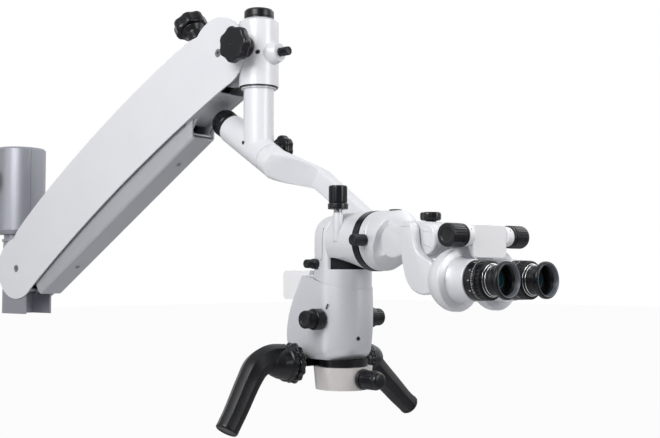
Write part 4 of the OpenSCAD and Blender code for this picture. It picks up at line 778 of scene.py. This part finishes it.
def tube_base_piece():
    """The flange on the drum, its steel spigot, and the nose with the hinge's eye, cap and printed arc."""
    flange = bored(24, [(34.7, 65.6), (TUBE_R, 66.2), (TUBE_R, 76.4), (34.4, 77.8)], turns=96, softness=0.5)
    spigot = bored(22, [(26, 49.6), (26, 51.6), (24, 51.6), (24, 66)], softness=0.2)
    eye = solid([(17.6, -21), (19, -19.6), (19, 19.6), (17.6, 21)])
    cap = lathe([(AXIS_R, 73.6), (7.5, 73.6), (7.5, 75.6), (7.0, 76.2), (AXIS_R, 76.4)],
                turns=40, softness=0.3)
    piece("tube_base_casting", "tube", [
        (moved(cap, shifted(92, 0, -0.2)), black_nylon),
        (moved(flange, ON_TUBE_AXIS), body_enamel),
        (moved(spigot, ON_TUBE_AXIS), turned_steel),
        (nose(), body_enamel),
        (moved(eye, shifted(*HINGE) @ TO_FAR), body_enamel),
        (lock_arrow(), grey_print)], ["tube_base"], SCOPE)


def fold_link_piece():
    """Two side plates with the link's barrel between them."""
    side = slab(LINK_SIDE, -33.9, -21.7, 2.6, 5)
    barrel = slab([p for p in LINK_SIDE if p[0] > BARREL_FROM], -22.5, 22.5, 0.3, 4)
    piece("fold_link_casting", "fold_link", [
        (side, body_enamel),
        (mirrored(side), body_enamel),
        (barrel, body_enamel)], ["fold_link"], SCOPE)


def eyepiece_carrier_piece():
    """The cheeks, the block across them with its rail, the post and the upper block with its collars."""
    cheek = slab(CHEEK_SIDE, -46, -34.7, 2.6, 5)
    cross = slab([(178, -12.5), (178, 6.5), (191.6, 6.5), (191.6, -12.5)], -45, 45, 1.2, 2)
    rail = slab([(190, -13.3), (190, 2.3), (198, 2.3), (198, -13.3)], -38, 38, 0.8, 0.8)
    post = slab([(188.2, -3), (188.2, 44), (191.6, 44), (191.6, -3)], -13.6, 13.6, 1, 1)
    upper = skin([rounded_section((x, 0, z), (0, 1, 0), (0, 0, 1), half_w, half_h, square, 80)
                  for x, z, half_w, half_h, square in UPPER_BLOCK])
    collar = bored(6, [(10.4, 27), (11, 27.4), (11, 36), (10.4, 36.6)], turns=48, softness=0.4)
    dot = lathe([(AXIS_R, 10.9), (0.7, 10.9), (0.7, 11.1), (AXIS_R, 11.12)], turns=16, softness=0.04)
    spread = shifted(*SPREAD_AXIS)
    dot_turn = turned_by(math.radians(55), "Y")
    parts = [(cheek, body_enamel), (mirrored(cheek), body_enamel), (cross, body_enamel), (rail, turned_steel),
             (post, body_enamel), (upper, lamp_abs)]
    parts += [(moved(collar, spread @ turn), lamp_abs) for turn in (TO_NEAR, TO_FAR)]
    parts += [(moved(dot, spread @ shifted(0, y, 0) @ dot_turn), seam_dark_and_painted_shade) for y in (-31.5, 31.5)]
    piece("eyepiece_carrier_casting", "ocular", parts, ["ocular_frame"], SCOPE)


# ------------------------------------------------ eyepieces
# Half the width over the two inner flats of the housings' round shells, from each shell's own axis
POD_INNER = 27.2


def eye_axis(side):
    return SCOPE @ shifted(0, side * EYE_HALF_SPACE, EYE_LEVEL)


def pod_piece(side, name):
    """One white eyepiece housing: a bell towards the carrier, a wide ring and the mount of the eyepiece."""
    shell = bored(17.6, [(20, 192.4), (23.4, 194.6), (27, 199), (30.4, 204), (32.4, 208), (33, 211),
                         (33, 217.6), (32.2, 218.8), (25.4, 220.6), (24.9, 220), (24.2, 220), (23.6, 221.4),
                         (22.8, 224), (22.2, 228), (22, 233), (22, 240), (21.4, 241)],
                  turns=120, softness=0.7)
    laid = moved(shell, TO_FRONT)
    # The side towards the other eyepiece is flat
    flat = [(x, max(y, -POD_INNER) if side > 0 else min(y, POD_INNER), z) for x, y, z in laid[0]]
    shape = moved((flat, laid[1]), eye_axis(side))
    piece(name + "_casting", name, [(shape, body_enamel)], [name])


def scale_marks(x, r):
    """Short scale lines round the eyepiece's dial, every fifth one longer."""
    points, faces = [], []
    marks = 60
    span = 300
    half_angle = 0.28 / r
    print_r = r + 0.06
    for k in range(marks + 1):
        a = math.radians(-span / 2 + span * k / marks)
        long = 2.6 if k % 5 == 0 else 1.4
        base = len(points)
        for turn in (a - half_angle, a + half_angle):
            for along in (0, long):
                points.append((x + along, math.sin(turn) * print_r, math.cos(turn) * print_r))
        faces.append((base, base + 1, base + 3, base + 2))
    return points, faces


def eyepiece_piece(side, name):
    """One eyepiece from its holder to the flared eyecup, with the lens inside."""
    holder = bored(13.5, [(17.4, 214), (17.4, 241.4), (20.6, 241.4), (21, 241.9), (21, 249.8),
                          (20.4, 250.5)], turns=96, softness=0.3)
    dial = bored(13.5, [(20.3, 250.7), (20.8, 251.2), (20.8, 255.4), (20.2, 256)], turns=96, softness=0.3)
    grip = bored(13.5, [(20, 256.2), (20.6, 256.8), (20.6, 261.2), (19.6, 262.2), (17, 262.4)],
                 turns=240, wave=ribs(30, 0.035, 256.9, 261.1), softness=0.3)
    wide_ring = lathe([(13.5, 262.4), (17.0, 262.5), (17.3, 262.8), (17.3, 263.4), (16.9, 263.7),
                       (13.5, 263.7), (13.5, 262.4)], softness=0.15)
    neck = bored(13.5, [(16.4, 263.7), (16.4, 265.4)], softness=0.15)
    thin_ring = bored(13.5, [(16.0, 265.4), (16.3, 265.7), (16.3, 266.3), (16.0, 266.6)], softness=0.15)
    cup = lathe([(13.0, 266.6), (15.0, 266.6), (14.8, 268.4), (15.2, 268.8), (15.2, 270.2), (14.8, 270.6),
                 (14.9, 273.4), (15.8, 275.4), (17.8, 277.6), (19.4, 279), (19.6, 279.8), (19.6, 281.8),
                 (19.3, 283), (18.6, 283.6), (17.6, 284.0), (16.9, 283.4), (15.4, 278.6), (14.2, 276.8),
                 (12.8, 273), (12.4, 270.2), (13.0, 266.6)], turns=96, softness=0.4)
    # A thin grey band on the cup's inner bevel, painted as the rim's highlight
    rim = lathe([(17.5, 284.02), (17.0, 283.6), (15.6, 279.0), (15.3, 279.2), (16.8, 283.8), (17.5, 284.02)],
                turns=96, softness=0.1)
    stop = lathe([(8, 269.7), (8.4, 270.1), (12.9, 268.9)], softness=0.3)
    lens = lathe([(AXIS_R, 270.6), (4, 270.4), (8, 269.7)], softness=3)
    place = eye_axis(side)
    turned = ((holder, black_anodised), (dial, black_anodised), (grip, black_anodised), (wide_ring, chrome),
              (neck, black_anodised), (thin_ring, chrome), (cup, black_anodised), (rim, rim_painted_highlight),
              (stop, eyecup_rubber), (lens, coated_glass))
    parts = [(moved(shape, place @ TO_FRONT), material) for shape, material in turned]
    parts.append((moved(scale_marks(251.3, 20.8), place), white_print))
    piece(name + "_barrel", name, parts, [name])


def dial_numbers(side, name):
    """Plain dial numbers on the holder of one eyepiece, 30 degrees apart and standing along its axis."""
    print_r = 21.05
    print_foot = 246.6
    for k, word in enumerate("864202468"):
        text = bpy.data.curves.new("%s_number_%d" % (name, k), "FONT")
        text.body = word
        text.size = 3.4 * MM
        text.extrude = 0.05 * MM
        text.align_x = "CENTER"
        text.align_y = "BOTTOM"
        text.materials.append(white_print)
        thing = bpy.data.objects.new("%s_number_%d" % (name, k), text)
        bpy.context.scene.collection.objects.link(thing)
        a = math.radians(-120 + 30 * k)
        out = Vector((0, math.sin(a), math.cos(a)))
        up = Vector((1, 0, 0))
        turn = Matrix((up.cross(out), up, out)).transposed().to_4x4()
        spot = eye_axis(side) @ Matrix.Translation(out * print_r) @ shifted(print_foot, 0, 0) @ turn
        spot.translation *= MM
        thing.matrix_world = spot
        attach(thing, name)


# ------------------------------------------------ CAD pieces in their finishes
def dress_frame():
    paint(column_paint, "column_core", "column_cover_near", "column_cover_far", "bracket")
    paint(arm_enamel, "arm_side_near", "arm_side_far", "arm_top_cover", "head_block", "hanger")
    paint(tray_paint, "arm_under_cover", "arm_frame")
    paint(body_silver, "body_collar")
    paint(lamp_abs, "lamp_housing")
    paint(turned_steel, "column_cover_screws", "bracket_spindle", "lower_pivot_pins", "under_cover_screws",
          "balance_spring", "spring_rod", "parallel_rods", "upper_pivot_pins", "hanger_spindle",
          "swing_shaft", "tilt_shaft")
    paint(bearing_bronze, "column_bushes", "arm_bushes", "head_bushes")
    paint(black_anodised, "seal_ring", "handle_ring", "objective_cell")
    paint(satin_aluminium, "objective_housing")
    soften(0.8, "arm_side_near", "arm_side_far", "arm_under_cover")
    soften(1.2, "bracket", "head_block", "hanger", "lamp_housing")
    soften(0.6, "body_collar", "objective_housing", "handle_ring", "column_cover_near", "column_cover_far")


# ------------------------------------------------ room, light and camera
# The camera's place in metres and the level way that it looks
CAMERA_PLACE = (1.62676, -0.71471, -0.214)
CAMERA_WAY = (-0.755, 0.656)
CAMERA_PITCH = math.radians(3.2)
FLOOR_LEVEL = -1.3
WHITE = (1, 1, 1, 1)


def floor_piece():
    """A wide pale floor that takes the object's shadow. The camera sees it as almost white."""
    half = 30.0
    mesh = bpy.data.meshes.new("floor")
    corners = [(-half, -half), (half, -half), (half, half), (-half, half)]
    mesh.from_pydata([(x, y, FLOOR_LEVEL) for x, y in corners], [], [(0, 1, 2, 3)])
    floor = bpy.data.objects.new("floor", mesh)
    bpy.context.scene.collection.objects.link(floor)
    pale = bpy.data.materials.new("pale_floor")
    pale.use_nodes = True
    tree = pale.node_tree
    tree.nodes.clear()
    matt = add(tree, "ShaderNodeBsdfDiffuse", Color=linear("#F4F4F6"))
    glow = add(tree, "ShaderNodeEmission", Color=WHITE, Strength=1.0)
    ray = add(tree, "ShaderNodeLightPath")
    camera_share = 0.96
    seen = add(tree, "ShaderNodeMath", {0: ray.outputs["Is Camera Ray"]}, operation="MULTIPLY")
    seen.inputs[1].default_value = camera_share
    blend = add(tree, "ShaderNodeMixShader", {
        0: seen.outputs["Value"], 1: matt.outputs["BSDF"], 2: glow.outputs["Emission"]})
    add(tree, "ShaderNodeOutputMaterial", {"Surface": blend.outputs["Shader"]})
    mesh.materials.append(pale)


def studio_world():
    """White for the camera and through glass, and a plain soft level on the object. A mirror sees a
    bright wall behind the object and a dim room on the camera's side."""
    world = bpy.data.worlds.new("studio")
    bpy.context.scene.world = world
    world.use_nodes = True
    tree = world.node_tree
    tree.nodes.clear()
    ray = add(tree, "ShaderNodeLightPath")
    way = add(tree, "ShaderNodeTexCoord")
    facing = add(tree, "ShaderNodeVectorMath", {0: way.outputs["Generated"]}, operation="DOT_PRODUCT")
    facing.inputs[1].default_value = (*CAMERA_WAY, 0.35)
    dim_room = 0.14
    bright_wall = 0.95
    mirror = add(tree, "ShaderNodeMapRange", {"Value": facing.outputs["Value"]},
                 From_Min=-0.7, From_Max=0.8, To_Min=dim_room, To_Max=bright_wall)
    plain = add(tree, "ShaderNodeMix", {0: ray.outputs["Is Glossy Ray"], 3: mirror.outputs["Result"]},
                data_type="FLOAT")
    object_level = 0.26
    plain.inputs[2].default_value = object_level
    sight = add(tree, "ShaderNodeMath", {
        0: ray.outputs["Is Camera Ray"], 1: ray.outputs["Is Transmission Ray"]}, operation="MAXIMUM")
    level = add(tree, "ShaderNodeMath", {0: sight.outputs["Value"], 1: plain.outputs[0]}, operation="MAXIMUM")
    sky = add(tree, "ShaderNodeBackground", {"Strength": level.outputs["Value"]}, Color=WHITE)
    add(tree, "ShaderNodeOutputWorld", {"Surface": sky.outputs["Background"]})


def soft_box(name, at, aim, size, power):
    """A rectangular lamp at a place, aimed at a point, its sizes in metres and its power in watts."""
    light = bpy.data.lights.new(name, "AREA")
    light.shape = "RECTANGLE"
    light.size, light.size_y = size
    light.energy = power
    thing = bpy.data.objects.new(name, light)
    bpy.context.scene.collection.objects.link(thing)
    thing.location = at
    thing.rotation_euler = (Vector(aim) - Vector(at)).to_track_quat("-Z", "Y").to_euler()


def lights():
    soft_box("key_box", (1.0, -1.15, 0.55), (0.6, 0.08, -0.1), (0.8, 0.8), 16)
    soft_box("front_box", (2.0, 0.5, 0.3), (0.9, 0.1, -0.2), (0.6, 0.9), 9.5)
    soft_box("side_strip", (0.1, -1.6, -0.3), (0.6, 0.05, -0.25), (0.3, 1.4), 3)
    soft_box("back_box", (0.9, 1.6, 0.9), (0.6, 0.1, -0.1), (1.2, 0.8), 6)


def camera():
    """A 36.5 degree view, looking slightly up, as the photograph does."""
    lens = bpy.data.cameras.new("camera")
    lens.lens = 54.545
    lens.sensor_width = 36
    lens.clip_start = 0.05
    eye = bpy.data.objects.new("camera", lens)
    bpy.context.scene.collection.objects.link(eye)
    ahead, aside = CAMERA_WAY
    look = Vector((ahead * math.cos(CAMERA_PITCH), aside * math.cos(CAMERA_PITCH), math.sin(CAMERA_PITCH)))
    eye.location = CAMERA_PLACE
    eye.rotation_euler = look.to_track_quat("-Z", "Y").to_euler()
    bpy.context.scene.camera = eye
    bpy.context.scene.view_settings.view_transform = "Standard"


dress_frame()
column_and_arm_knobs()
microscope_knobs()
head_details()
drum_pieces()
tube_base_piece()
fold_link_piece()
eyepiece_carrier_piece()
handle_piece(-1, LEFT_ROUTE, "handle_left")
handle_piece(1, RIGHT_ROUTE, "handle_right")
swing_arm_piece()
body_pieces()
for side, word in ((-1, "left"), (1, "right")):
    pod_piece(side, "pod_" + word)
    eyepiece_piece(side, "eyepiece_" + word)
    dial_numbers(side, "eyepiece_" + word)
floor_piece()
studio_world()
lights()
camera()
